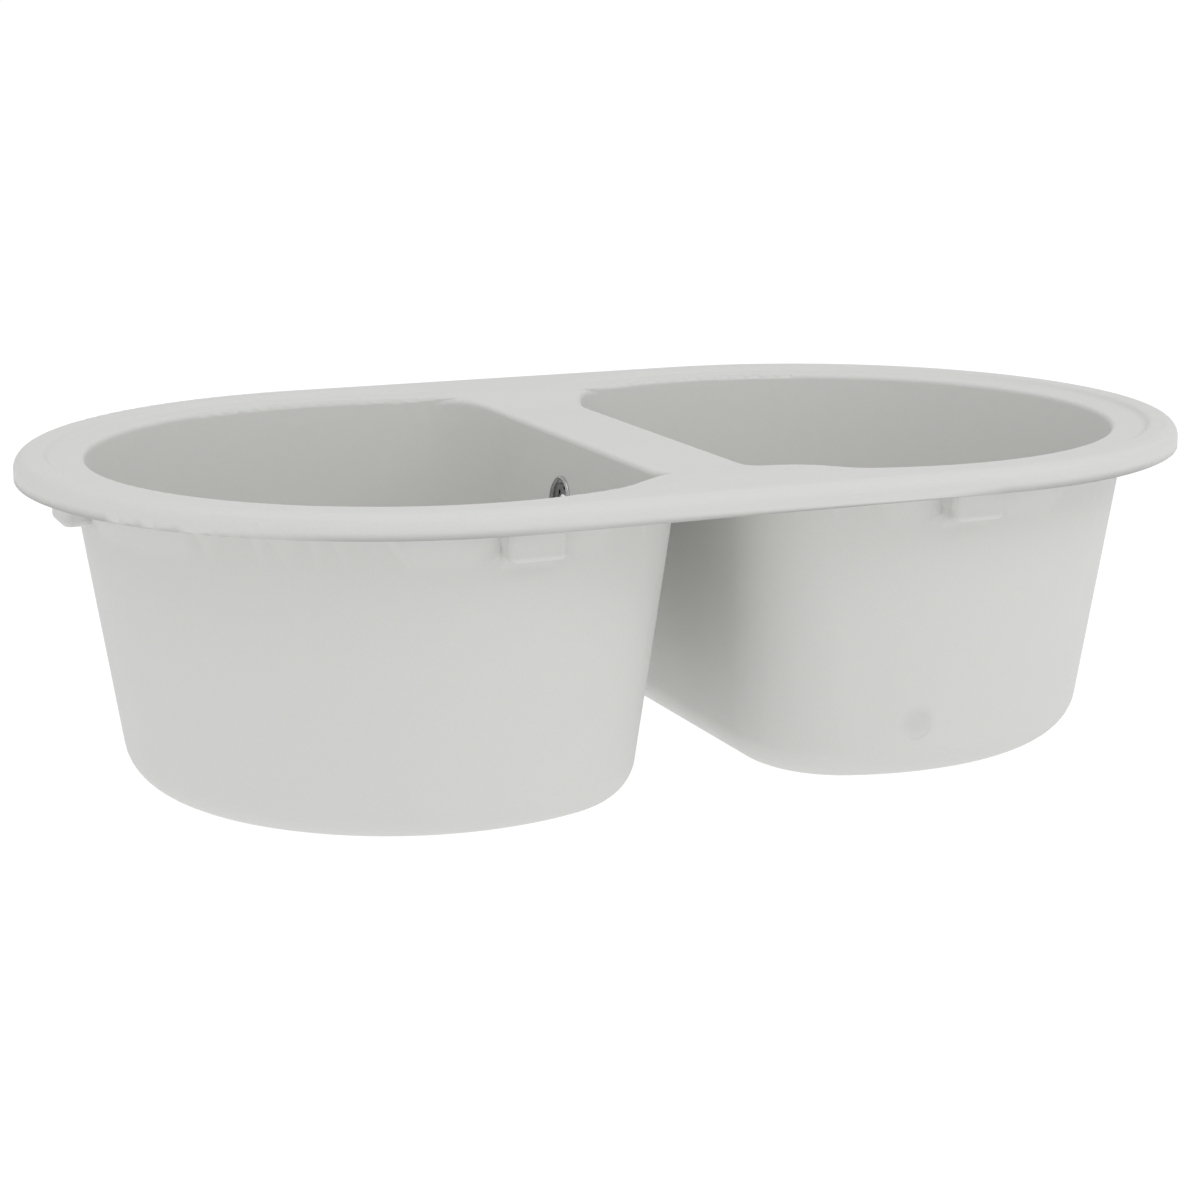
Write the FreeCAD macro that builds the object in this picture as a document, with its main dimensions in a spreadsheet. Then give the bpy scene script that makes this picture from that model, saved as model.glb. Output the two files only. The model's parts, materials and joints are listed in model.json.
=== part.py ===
import FreeCAD, Part
import math
import os
import re
import Sketcher
from FreeCAD import Placement, Rotation, Vector

# Double bowl granite composite sink with its strainers and overflow.
# Z = 0 is the underside of the rim, where the sink rests on the worktop.
# X runs along the sink, -Y is the front. Millimetres and degrees.

SIZES = {
    # rim, its flat band and the ledge round both bowls
    "rim_length": 780,
    "rim_depth": 480,
    "rim_thickness": 15,
    "rim_edge_round": 9,
    "band_width": 20,
    "ledge_drop": 3.5,
    "ledge_slope": 4,
    "ledge_width": 23,
    "ledge_neck_round": 30,
    "step_round": 6,
    # bowls
    "sink_height": 211,
    "wall": 10,
    "wall_draft": 8.37,
    "gap_width": 44,
    "bowl_lap": 40,
    "flat_draft": 5.24,
    "corner_top": 35,
    "corner_bottom": 68,
    "outer_corner_top": 70,
    "floor_thickness": 10,
    "floor_fall": 3,
    "floor_round": 18,
    "opening_round": 4,
    "opening_neck_round": 20,
    "divider_drop": 7.8,
    "divider_round": 3.5,
    "divider_rib": 3,
    "divider_rib_length": 300,
    "rim_bite": 3,
    "corner_run_out": 0.3,
    "cut_margin": 20,
    "overrun": 1,
    "pick_slack": 0.05,
    # lugs under the rim and the threaded inserts in them
    "lug_width": 36,
    "lug_height": 21,
    "lug_reach": 14,
    "lug_bite": 7,
    "lug_inset": 6,
    "lug_side_round": 6,
    "lug_foot_round": 4,
    "insert_hole_radius": 3.5,
    "insert_hole_depth": 14,
    "insert_length": 12,
    "insert_bore_radius": 2.1,
    "insert_play": 0.05,
    # round mark left by the mould on the right bowl
    "mark_radius": 9,
    "mark_depth": 0.2,
    "mark_height": 38,
    "mark_side": 23,
    # drain in each floor
    "drain_radius": 45,
    "recess_radius": 58,
    "recess_depth": 2.4,
    "land_width": 4,
    # strainer dish and its seal
    "sheet": 1.2,
    "seal_thickness": 1,
    "seal_inset": 1,
    "flange_radius": 56.5,
    "dish_radius": 43.5,
    "dish_depth": 25,
    "dish_lip_round": 2.5,
    "dish_floor_round": 4,
    "dimple_radius": 12,
    "dimple_depth": 3,
    "grid_radius": 16.8,
    "grid_hole_radius": 3.4,
    "grid_holes": 8,
    # waste housing below the floor
    "housing_seal_thickness": 2,
    "housing_flange_radius": 54,
    "housing_flange_thickness": 3,
    "housing_radius": 49,
    "housing_wall": 3,
    "housing_depth": 16,
    "funnel_depth": 8,
    "outlet_radius": 23.9,
    "outlet_wall": 3.9,
    "outlet_length": 13,
    "hub_radius": 8,
    "hub_length": 16,
    "rib_thickness": 2,
    "rib_height": 8.5,
    "spigot_radius": 8,
    "spigot_wall": 2,
    "spigot_reach": 75,
    "spigot_root": 30,
    "spigot_drop": 11.5,
    "hose_reach": 20,
    "hose_stop_radius": 10,
    "hose_stop_length": 2,
    "spigot_cap_wall": 2,
    "spigot_cap_length": 16,
    "spigot_cap_play": 0.05,
    # clamping screw and its insert
    "screw_radius": 3,
    "screw_play": 0.05,
    "screw_hole_play": 0.3,
    "screw_head_radius": 8,
    "screw_head_height": 2.4,
    "screw_slot_width": 1.6,
    "screw_slot_depth": 1.2,
    "clamp_insert_radius": 5.5,
    "clamp_insert_length": 10,
    # lift-out basket
    "basket_gap": 0.3,
    "plug_radius": 24,
    "plug_thickness": 4,
    "plug_recess_radius": 13,
    "plug_recess_depth": 3,
    "plug_edge_round": 1.2,
    "basket_sheet": 1,
    "basket_floor_radius": 30,
    "basket_radius": 38,
    "basket_rim_radius": 41,
    "basket_height": 19.5,
    "basket_floor_hole_radius": 1.6,
    "basket_floor_hole_circle": 27,
    "basket_floor_holes": 20,
    "basket_side_hole_radius": 2,
    "basket_side_holes": 24,
    "basket_side_hole_step": 6,
    "stem_radius": 3,
    "stem_play": 0.1,
    "collar_radius": 6,
    "collar_height": 1.5,
    "knob_radius": 9,
    "knob_height": 6,
    "knob_clearance": 3,
    "knob_round": 2,
    "washer_radius": 9,
    "washer_thickness": 1,
    "rivet_radius": 5,
    "rivet_height": 1.4,
    # overflow in the divider side of the left bowl
    "overflow_drop": 49.5,
    "overflow_side": 12,
    "overflow_radius": 12,
    "cover_radius": 17,
    "cover_height": 2.4,
    "cover_bevel": 0.8,
    "cover_ring_width": 2.2,
    "cover_throat_radius": 12.4,
    "cover_throat_height": 1.6,
    "cover_skirt_play": 0.3,
    "cover_dish_radius": 9.2,
    "cover_dish_depth": 2.2,
    "cover_sheet": 1.3,
    "cover_holes": 6,
    "cover_hole_radius": 1.7,
    "cover_hole_circle": 6.8,
    "cover_screw_radius": 2,
    "cover_screw_head_radius": 3.6,
    "cover_screw_head_height": 1.3,
    "cover_screw_length": 22,
    "cover_slot_width": 1,
    "overflow_gasket_thickness": 2,
    "overflow_gasket_radius": 20,
    "elbow_flange_radius": 21,
    "elbow_flange_thickness": 3,
    "elbow_radius": 16,
    "elbow_wall": 2,
    "elbow_depth": 22,
    "elbow_post_radius": 4.5,
    "elbow_post_drop": 2,
    "elbow_pilot_depth": 11,
    "elbow_spigot_reach": 42,
    "elbow_spigot_inset": 1.5,
}

doc = FreeCAD.newDocument("double_bowl_sink")
sizes = doc.addObject("Spreadsheet::Sheet", "sizes")
for row, (size_name, size_value) in enumerate(SIZES.items(), start=1):
    sizes.set(f"A{row}", size_name)
    sizes.set(f"B{row}", str(size_value))
    sizes.setAlias(f"B{row}", size_name)
doc.recompute()

# Levels and radii that several pieces share, as formulas of the sheet.
BOWL_X = "((rim_length - rim_depth) / 2)"
LEDGE_Z = "(rim_thickness - ledge_drop)"
DIVIDER_Z = "(rim_thickness - divider_drop)"
BOTTOM_Z = "(rim_thickness - sink_height)"
SEAT_Z = "(rim_thickness - sink_height + floor_thickness)"
FLOOR_Z = "(rim_thickness - sink_height + floor_thickness + recess_depth)"
STEP_RADIUS = "(rim_depth / 2 - band_width)"
OPENING_RADIUS = "(rim_depth / 2 - band_width - ledge_width)"
# how much further than gap_width / 2 the flats stand, when the bowls' circles would lap too little
APART = "max(0; bowl_lap + rim_length / 2 - rim_depth + band_width + ledge_width)"
LAND_RADIUS = "(recess_radius + land_width)"
OVERFLOW_Z = "(rim_thickness - overflow_drop)"
# heights in a waste, measured from its seat in the drain recess
DISH_LOW = "(seal_thickness - dish_depth)"
DISH_TOP = "(seal_thickness + sheet)"
DIMPLE_LOW = "(seal_thickness - dish_depth - dimple_depth)"
HOUSING_TOP = "(-floor_thickness - housing_seal_thickness)"
HOUSING_LOW = "(-floor_thickness - housing_seal_thickness - housing_depth)"
FUNNEL_LOW = "(-floor_thickness - housing_seal_thickness - housing_depth - funnel_depth)"
HUB_LOW = "(seal_thickness - dish_depth - dimple_depth - hub_length)"
PLUG_LOW = "(seal_thickness - dish_depth + sheet + basket_gap)"
BASKET_LOW = "(seal_thickness - dish_depth + sheet + basket_gap + plug_thickness)"
BASKET_TOP = "(seal_thickness - dish_depth + sheet + basket_gap + plug_thickness + basket_height)"
# heights in the overflow, measured out of the wall towards the bowl
ELBOW_TOP = "(-wall - overflow_gasket_thickness)"
ELBOW_LOW = "(-wall - overflow_gasket_thickness - elbow_depth)"
POST_TOP = "(-wall - overflow_gasket_thickness - elbow_post_drop)"


def size(name):
    """A driving dimension as the sheet holds it."""
    return float(sizes.get(name))


def bottom_level():
    """Height of the bowls' underside."""
    return size("rim_thickness") - size("sink_height")


def bowl_centre():
    """Distance of each bowl's axis from the middle of the sink."""
    return (size("rim_length") - size("rim_depth")) / 2


def opening_radius():
    """Radius of each bowl's opening at the ledge."""
    return size("rim_depth") / 2 - size("band_width") - size("ledge_width")


def apart():
    """How much further than half the gap's width the flats stand."""
    return max(0, size("bowl_lap") + bowl_centre() - opening_radius())


def formula(text):
    """The same formula with its size names pointing at the sheet."""
    return re.sub("[a-z_]+", lambda word: "sizes." + word[0] if word[0] in SIZES else word[0], text)


def bind(thing, **formulas):
    """Bind properties to formulas, with two underscores for a dot in the property's path."""
    for path, text in formulas.items():
        thing.setExpression(path.replace("__", "."), formula(text))


def inner_radius(level):
    """Radius of a bowl's inside at a height."""
    return f"({OPENING_RADIUS} - ({LEDGE_Z} - ({level})) * tan(wall_draft))"


def outer_radius(level):
    """Radius of a bowl's outside at a height."""
    return f"({inner_radius(level)} + wall / cos(wall_draft))"


def outer_flat(level):
    """Distance from the middle of the sink to a bowl's flat outside, at a height."""
    return f"(gap_width / 2 + {APART} - ({level}) * tan(flat_draft))"


def inner_flat(level):
    """Distance from the middle of the sink to a bowl's flat inside, at a height."""
    return f"({outer_flat(level)} + wall / cos(flat_draft))"


def new_body(name, label=None):
    """An empty body."""
    body = doc.addObject("PartDesign::Body", name)
    body.Label = label or name
    return body


def new_sketch(body, name, plane="XY_Plane", level=None):
    """A sketch on one of the body's own planes, raised to a height."""
    sketch = body.newObject("Sketcher::SketchObject", name)
    sketch.AttachmentSupport = [(origin_part(body, plane), "")]
    sketch.MapMode = "FlatFace"
    if level:
        bind(sketch, AttachmentOffset__Base__z=level)
    return sketch


def origin_part(body, role):
    """A plane or an axis of the body's own origin."""
    return next(part for part in body.Origin.OriginFeatures if part.Role == role)


def pin_point(sketch, element, point, across, up):
    """Hold one point of a sketch at two formulas."""
    for kind, axis, text in (("DistanceX", -2, across), ("DistanceY", -1, up)):
        if text == "0":
            sketch.addConstraint(Sketcher.Constraint("PointOnObject", element, point, axis))
            continue
        place = sketch.getPoint(element, point)
        reach = place.x if kind == "DistanceX" else place.y
        index = sketch.addConstraint(Sketcher.Constraint(kind, -1, 1, element, point, reach))
        bind(sketch, **{f"Constraints[{index}]": text})


def polygon(sketch, points):
    """A closed outline of straight lines whose corners are formulas."""
    count = len(points)
    turn = 2 * math.pi / count
    rough = [Vector(math.cos(turn * step), math.sin(turn * step)) for step in range(count)]
    for step in range(count):
        sketch.addGeometry(Part.LineSegment(rough[step], rough[(step + 1) % count]), False)
    for step in range(count):
        sketch.addConstraint(Sketcher.Constraint("Coincident", step, 2, (step + 1) % count, 1))
    for step, (across, up) in enumerate(points):
        pin_point(sketch, step, 1, across, up)
    doc.recompute()
    return sketch


def circle(sketch, radius, across="0", up="0"):
    """A circle whose radius and centre are formulas."""
    element = sketch.addGeometry(Part.Circle(Vector(1, 1), Vector(0, 0, 1), 1), False)
    index = sketch.addConstraint(Sketcher.Constraint("Radius", element, 1))
    bind(sketch, **{f"Constraints[{index}]": radius})
    pin_point(sketch, element, 3, across, up)
    doc.recompute()
    return sketch


def arcs_and_centres(sketch, arcs):
    """Add arcs given as centre, radius, first and last angle."""
    for centre, radius, first, last in arcs:
        whole = Part.Circle(centre, Vector(0, 0, 1), radius)
        sketch.addGeometry(Part.ArcOfCircle(whole, first, last), False)


def set_radius(sketch, element, value, text):
    """Bind an arc's radius to a formula."""
    index = sketch.addConstraint(Sketcher.Constraint("Radius", element, value))
    bind(sketch, **{f"Constraints[{index}]": text})


def stadium(sketch):
    """The outline of the rim: two half circles joined by straight sides."""
    radius = size("rim_depth") / 2
    middle = bowl_centre()
    quarter = math.pi / 2
    arcs = ((Vector(middle, 0), radius, -quarter, quarter),
            (Vector(-middle, 0), radius, quarter, 3 * quarter))
    arcs_and_centres(sketch, arcs)
    sketch.addGeometry(Part.LineSegment(Vector(middle, radius), Vector(-middle, radius)), False)
    sketch.addGeometry(Part.LineSegment(Vector(-middle, -radius), Vector(middle, -radius)), False)
    for joint in ((0, 2, 2, 1), (2, 2, 1, 1), (1, 2, 3, 1), (3, 2, 0, 1)):
        sketch.addConstraint(Sketcher.Constraint("Tangent", *joint))
    pin_point(sketch, 0, 3, BOWL_X, "0")
    pin_point(sketch, 1, 3, f"-({BOWL_X})", "0")
    set_radius(sketch, 0, radius, "rim_depth / 2")
    sketch.addConstraint(Sketcher.Constraint("Equal", 0, 1))
    doc.recompute()
    return sketch


def hourglass(sketch, radius, radius_text, neck, neck_text):
    """Two circles about the bowls, blended where they meet by a hollow round."""
    middle = bowl_centre()
    neck_y = math.sqrt((radius + neck) ** 2 - middle ** 2)
    lean = math.atan2(neck_y, middle)
    arcs_and_centres(sketch, (
        (Vector(middle, 0), radius, lean - math.pi, math.pi - lean),
        (Vector(0, neck_y), neck, lean - math.pi, -lean),
        (Vector(-middle, 0), radius, lean, 2 * math.pi - lean),
        (Vector(0, -neck_y), neck, lean, math.pi - lean),
    ))
    for joint in ((0, 2, 1, 2), (1, 1, 2, 1), (2, 2, 3, 2), (3, 1, 0, 1)):
        sketch.addConstraint(Sketcher.Constraint("Tangent", *joint))
    pin_point(sketch, 0, 3, BOWL_X, "0")
    pin_point(sketch, 2, 3, f"-({BOWL_X})", "0")
    set_radius(sketch, 0, radius, radius_text)
    sketch.addConstraint(Sketcher.Constraint("Equal", 0, 2))
    set_radius(sketch, 1, neck, neck_text)
    sketch.addConstraint(Sketcher.Constraint("Equal", 1, 3))
    doc.recompute()
    return sketch


def extrude(body, name, sketch, length, kind="Pad", reverse=False):
    """Pad a sketch, or cut it, over a length; a cut with no length goes through all."""
    before = body.Shape.Volume if kind == "Pocket" else 0
    feature = body.newObject("PartDesign::" + kind, name)
    feature.Profile = sketch
    feature.Reversed = reverse
    if length:
        bind(feature, Length=length)
    else:
        feature.Type = "ThroughAll"
    body.Tip = feature
    doc.recompute()
    if kind == "Pocket" and body.Shape.Volume >= before:
        raise RuntimeError(f"{name} cuts nothing")
    return feature


def turned(name, points, label=None):
    """A body turned about its Z axis from a profile of radius and height."""
    body = new_body(name, label)
    profile = polygon(new_sketch(body, name + "_profile", "XZ_Plane"), points)
    turn = body.newObject("PartDesign::Revolution", name + "_turn")
    turn.Profile = profile
    turn.ReferenceAxis = (profile, ["V_Axis"])
    turn.Angle = 360
    body.Tip = turn
    doc.recompute()
    return body


def ring(name, inner, outer, low, high):
    """A flat ring about the Z axis."""
    return turned(name, [(inner, low), (outer, low), (outer, high), (inner, high)])


def swept_by(body, corners):
    """Names of the edges that corners of the body's profile sweep round the axis."""
    profile = next(part for part in body.Group if part.Name.endswith("_profile"))
    slack = size("pick_slack")
    names = []
    for number, edge in enumerate(body.Tip.Shape.Edges, start=1):
        middle = edge.valueAt((edge.FirstParameter + edge.LastParameter) / 2)
        reach = math.hypot(middle.x, middle.y)
        for corner in corners:
            place = profile.getPoint(corner, 1)
            if edge.Closed and abs(reach - place.x) < slack and abs(middle.z - place.y) < slack:
                names.append(f"Edge{number}")
    return names


def soften(body, name, names, radius):
    """Round named edges of the body's latest shape."""
    if not names:
        raise RuntimeError(f"{name} finds no edge")
    base = body.Tip
    feature = body.newObject("PartDesign::Fillet", name)
    feature.Base = (base, names)
    bind(feature, Radius=radius)
    body.Tip = feature
    doc.recompute()
    return feature


def pick(shape, test):
    """Numbers of the edges whose sampled points all pass a test."""
    return [number for number, edge in enumerate(shape.Edges, start=1)
            if all(test(point) for point in edge.discretize(5))]


def level_with(height):
    """A test for points at a height."""
    slack = size("pick_slack")
    return lambda point: abs(point.z - height) < slack


def repeat(body, name, feature, count):
    """Repeat a feature round the body's Z axis."""
    pattern = body.newObject("PartDesign::PolarPattern", name)
    pattern.Originals = [feature]
    pattern.Axis = (origin_part(body, "Z_Axis"), [""])
    pattern.Angle = 360
    bind(pattern, Occurrences=count)
    body.Tip = pattern
    doc.recompute()


def combine(kind, name, shapes, label=None):
    """A fuse, common or compound of several objects."""
    result = doc.addObject("Part::" + kind, name)
    if kind == "Compound":
        result.Links = shapes
    else:
        result.Shapes = shapes
    result.Label = label or name
    doc.recompute()
    return result


def cut(name, base, tool, label=None):
    """One object less another."""
    result = doc.addObject("Part::Cut", name)
    result.Base = base
    result.Tool = tool
    result.Label = label or name
    doc.recompute()
    return result


def round_edges(name, source, numbers, first, last):
    """Round edges of an object, with a radius that may change along each."""
    if not numbers:
        raise RuntimeError(f"{name} finds no edge")
    result = doc.addObject("Part::Fillet", name)
    result.Base = source
    result.Edges = [(number, first, last) for number in numbers]
    doc.recompute()
    return result


def mirrored(name, source, label=None):
    """The same object on the other side of the sink's middle."""
    result = doc.addObject("Part::Mirroring", name)
    result.Source = source
    result.Normal = Vector(1, 0, 0)
    result.Label = label or name
    doc.recompute()
    return result


def rod(name, radius, length, turn, x, y, z):
    """A plain cylinder along a turned Z axis."""
    result = doc.addObject("Part::Cylinder", name)
    result.Placement = Placement(Vector(0, 0, 0), turn)
    bind(result, Radius=radius, Height=length,
         Placement__Base__x=x, Placement__Base__y=y, Placement__Base__z=z)
    doc.recompute()
    return result


def rim():
    """The rim plate with its rounded edge, the step to the ledge and the step to the divider."""
    body = new_body("rim")
    extrude(body, "rim_plate", stadium(new_sketch(body, "rim_outline")), "rim_thickness")
    top = size("rim_thickness")
    edges = pick(body.Tip.Shape, level_with(top))
    soften(body, "rim_edge", [f"Edge{number}" for number in edges], "rim_edge_round")

    step = size("rim_depth") / 2 - size("band_width")
    half_slope = size("ledge_slope") / 2
    neck = size("ledge_neck_round") + apart()
    neck_text = f"ledge_neck_round + {APART}"
    low = hourglass(new_sketch(body, "ledge_low", level=LEDGE_Z),
                    step - half_slope, f"{STEP_RADIUS} - ledge_slope / 2",
                    neck + half_slope, f"{neck_text} + ledge_slope / 2")
    rise = size("overrun") * size("ledge_slope") / size("ledge_drop")
    rise_text = "overrun * ledge_slope / ledge_drop"
    high = hourglass(new_sketch(body, "ledge_high", level="rim_thickness + overrun"),
                     step + half_slope + rise, f"{STEP_RADIUS} + ledge_slope / 2 + {rise_text}",
                     neck - half_slope - rise, f"{neck_text} - ledge_slope / 2 - {rise_text}")
    sink_loft(body, "ledge_step", low, high)
    ledge = top - size("ledge_drop")
    inside = size("rim_depth") / 2 - size("rim_edge_round") - size("pick_slack")
    edges = pick(body.Tip.Shape, lambda point: level_with(top)(point) and abs(point.y) < inside)
    edges += pick(body.Tip.Shape, level_with(ledge))
    soften(body, "step_edges", [f"Edge{number}" for number in edges], "step_round")

    opening = opening_radius()
    neck = size("opening_neck_round") + apart()
    neck_text = f"opening_neck_round + {APART}"
    slope = math.tan(math.radians(size("wall_draft")))
    fall = (size("divider_drop") - size("ledge_drop")) * slope
    climb = size("overrun") * slope
    fall_text = "(divider_drop - ledge_drop) * tan(wall_draft)"
    climb_text = "overrun * tan(wall_draft)"
    low = hourglass(new_sketch(body, "divider_low", level=DIVIDER_Z),
                    opening - fall, f"{OPENING_RADIUS} - {fall_text}",
                    neck + fall, f"{neck_text} + {fall_text}")
    high = hourglass(new_sketch(body, "divider_high", level=f"{LEDGE_Z} + overrun"),
                     opening + climb, f"{OPENING_RADIUS} + {climb_text}",
                     neck - climb, f"{neck_text} - {climb_text}")
    sink_loft(body, "divider_step", low, high)
    middle = opening + size("ledge_width") / 2
    border = size("band_width") + size("ledge_width") / 2
    edges = pick(body.Tip.Shape, lambda point: level_with(ledge)(point) and abs(point.y) < middle
                 and abs(abs(point.x) - size("rim_length") / 2) > border)
    soften(body, "opening_edge", [f"Edge{number}" for number in edges], "opening_round")
    return body


def sink_loft(body, name, low, high):
    """Cut the space between two outlines."""
    before = body.Shape.Volume
    feature = body.newObject("PartDesign::SubtractiveLoft", name)
    feature.Profile = low
    feature.Sections = [high]
    feature.Ruled = True
    body.Tip = feature
    doc.recompute()
    if body.Shape.Volume >= before:
        raise RuntimeError(f"{name} cuts nothing")


def dee(name, points, flat, low, high, corner_low, corner_high):
    """A round tapered form with one flat side, its two upright corners rounded more at the foot."""
    body = turned(name, points)
    bind(body, Placement__Base__x=BOWL_X)
    side = new_sketch(body, name + "_flat", "XZ_Plane")
    far = f"-({OPENING_RADIUS} + wall + cut_margin)"
    polygon(side, [(f"{flat(high)} - {BOWL_X}", high), (f"{flat(low)} - {BOWL_X}", low),
                   (far, low), (far, high)])
    pocket = extrude(body, name + "_side", side, None, "Pocket")
    pocket.Midplane = True
    doc.recompute()
    shape = body.Shape
    height = shape.BoundBox.ZLength
    upright = [number for number, edge in enumerate(shape.Edges, start=1)
               if edge.BoundBox.ZLength > height / 2 and abs(edge.CenterOfMass.y) > size("wall")]
    return round_edges(name + "_corners", body, upright, corner_low, corner_high)


def outer_bowl():
    """The outside of the right bowl."""
    high = "rim_bite"
    points = [("0", BOTTOM_Z), (outer_radius(BOTTOM_Z), BOTTOM_Z), (outer_radius(high), high), ("0", high)]
    wall = size("wall")
    form = dee("outer_bowl", points, outer_flat, f"{BOTTOM_Z} - cut_margin", f"{high} + cut_margin",
               size("corner_bottom") + wall, size("outer_corner_top"))
    foot = pick(form.Shape, level_with(bottom_level()))
    radius = size("floor_round") + wall
    return round_edges("outer_bowl_foot", form, foot, radius, radius)


def bowl_hollow():
    """The inside of the right bowl, flared over the divider's rounded top."""
    edge = f"({FLOOR_Z} + floor_fall)"
    points = [("0", FLOOR_Z), (LAND_RADIUS, FLOOR_Z), (f"{inner_radius(edge)} + corner_run_out", edge),
              (f"{inner_radius(DIVIDER_Z)} + corner_run_out", DIVIDER_Z), ("0", DIVIDER_Z)]
    form = dee("hollow", points, inner_flat, f"{FLOOR_Z} - cut_margin", f"{DIVIDER_Z} + cut_margin",
               size("corner_bottom"), size("corner_top"))
    centre = bowl_centre()
    edge_level = bottom_level() + size("floor_thickness") + size("recess_depth") + size("floor_fall")
    low = edge_level + size("pick_slack")
    land = size("recess_radius") + size("land_width") + size("pick_slack")
    foot = pick(form.Shape, lambda point: point.z < low and math.hypot(point.x - centre, point.y) > land)
    radius = size("floor_round")
    form = round_edges("hollow_foot", form, foot, radius, radius)

    block = doc.addObject("Part::Box", "block")
    reach = f"({inner_radius(DIVIDER_Z)} + cut_margin)"
    bind(block, Length=f"2 * {reach}", Width=f"2 * {reach}",
         Height="sink_height - divider_drop + cut_margin",
         Placement__Base__x=f"{BOWL_X} - {reach}", Placement__Base__y=f"-{reach}",
         Placement__Base__z=f"{BOTTOM_Z} - cut_margin")
    doc.recompute()
    pierced = cut("block_pierced", block, form)
    limit = opening_radius() + size("cut_margin") / 2
    top = size("rim_thickness") - size("divider_drop")
    mouth = pick(pierced.Shape, lambda point: level_with(top)(point) and abs(point.x - centre) < limit
                 and abs(point.y) < limit)
    rounded = round_edges("block_rounded", pierced, mouth, size("divider_round"), size("divider_round"))
    flared = cut("hollow_flared", block, rounded)

    cone = doc.addObject("Part::Cone", "wall_cone")
    bind(cone, Radius1=inner_radius(BOTTOM_Z), Radius2=inner_radius(DIVIDER_Z),
         Height="sink_height - divider_drop", Placement__Base__x=BOWL_X, Placement__Base__z=BOTTOM_Z)
    doc.recompute()
    return combine("MultiCommon", "bowl_hollow", [flared, cone])


def lug_places():
    """Where the lugs stand: name, X and Y formulas and the angle that each faces."""
    reach = outer_radius("0")
    beside = f"({BOWL_X} - lug_inset)"
    return [
        ("front_right", beside, f"-{reach}", -90),
        ("front_left", f"-{beside}", f"-{reach}", -90),
        ("back_right", beside, reach, 90),
        ("back_left", f"-{beside}", reach, 90),
        ("end_right", f"{BOWL_X} + {reach}", "0", 0),
        ("end_left", f"-({BOWL_X} + {reach})", "0", 180),
    ]


def place(body, x, y, angle):
    """Stand a body at a place, turned about Z."""
    body.Placement = Placement(Vector(0, 0, 0), Rotation(Vector(0, 0, 1), angle))
    bind(body, Placement__Base__x=x, Placement__Base__y=y)
    doc.recompute()
    return body


def lug(name, x, y, angle):
    """A rounded lug under the rim that holds a threaded insert."""
    body = new_body("lug_" + name)
    outline = new_sketch(body, name + "_outline", level="-lug_height")
    half = "lug_width / 2"
    polygon(outline, [("-lug_bite", f"-{half}"), ("lug_reach", f"-{half}"),
                      ("lug_reach", half), ("-lug_bite", half)])
    extrude(body, name + "_pad", outline, "lug_height + rim_bite")
    face = size("lug_reach") - size("pick_slack")
    uprights = [f"Edge{number}" for number, edge in enumerate(body.Tip.Shape.Edges, start=1)
                if edge.BoundBox.ZLength > size("lug_height") and edge.CenterOfMass.x > face]
    soften(body, name + "_sides", uprights, "lug_side_round")
    low = level_with(-size("lug_height"))
    back = size("pick_slack") - size("lug_bite")
    foot = [f"Edge{number}" for number in pick(body.Tip.Shape, low)
            if body.Tip.Shape.Edges[number - 1].CenterOfMass.x > back]
    soften(body, name + "_foot", foot, "lug_foot_round")
    return place(body, x, y, angle)


def insert_hole(name, x, y, angle):
    """The blind hole for the insert, up into the lug from below."""
    body = new_body("hole_" + name)
    outline = new_sketch(body, name + "_hole", level="-lug_height - overrun")
    circle(outline, "insert_hole_radius", "lug_reach / 2")
    extrude(body, name + "_hole_pad", outline, "insert_hole_depth + overrun")
    return place(body, x, y, angle)


def insert(name, x, y, angle):
    """One threaded insert, level with the lug's foot."""
    body = new_body("insert_" + name)
    outline = new_sketch(body, name + "_insert", level="-lug_height")
    circle(outline, "insert_hole_radius - insert_play", "lug_reach / 2")
    circle(outline, "insert_bore_radius", "lug_reach / 2")
    extrude(body, name + "_insert_pad", outline, "insert_length")
    return place(body, x, y, angle)


def sink_body():
    """The one-piece moulding: rim, two bowls, six lugs, drains and the overflow hole."""
    outer = outer_bowl()
    hollow = bowl_hollow()
    rib = doc.addObject("Part::Box", "divider_rib")
    bind(rib, Length=f"gap_width + wall + 2 * {APART}", Width="divider_rib_length",
         Height="divider_rib + rim_bite",
         Placement__Base__x=f"-(gap_width + wall) / 2 - {APART}",
         Placement__Base__y="-divider_rib_length / 2", Placement__Base__z="-divider_rib")
    doc.recompute()
    lugs = [lug(*spot) for spot in lug_places()]
    shell = combine("MultiFuse", "shell", [rim(), outer, mirrored("outer_left", outer), rib] + lugs)

    drain = turned("drain", [
        ("0", f"{BOTTOM_Z} - overrun"), ("drain_radius", f"{BOTTOM_Z} - overrun"), ("drain_radius", SEAT_Z),
        ("recess_radius", SEAT_Z), ("recess_radius", f"{FLOOR_Z} + overrun"), ("0", f"{FLOOR_Z} + overrun")])
    bind(drain, Placement__Base__x=BOWL_X)
    doc.recompute()
    overflow = turned("overflow_hole", [
        ("0", "-2 * wall"), ("overflow_radius", "-2 * wall"), ("overflow_radius", "wall"), ("0", "wall")])
    at_overflow(overflow)
    holes = [insert_hole(*spot) for spot in lug_places()]
    cutters = [hollow, mirrored("hollow_left", hollow), drain, mirrored("drain_left", drain), overflow,
               mould_mark()] + holes
    cut("sink_body", shell, combine("Compound", "cutters", cutters))


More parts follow.
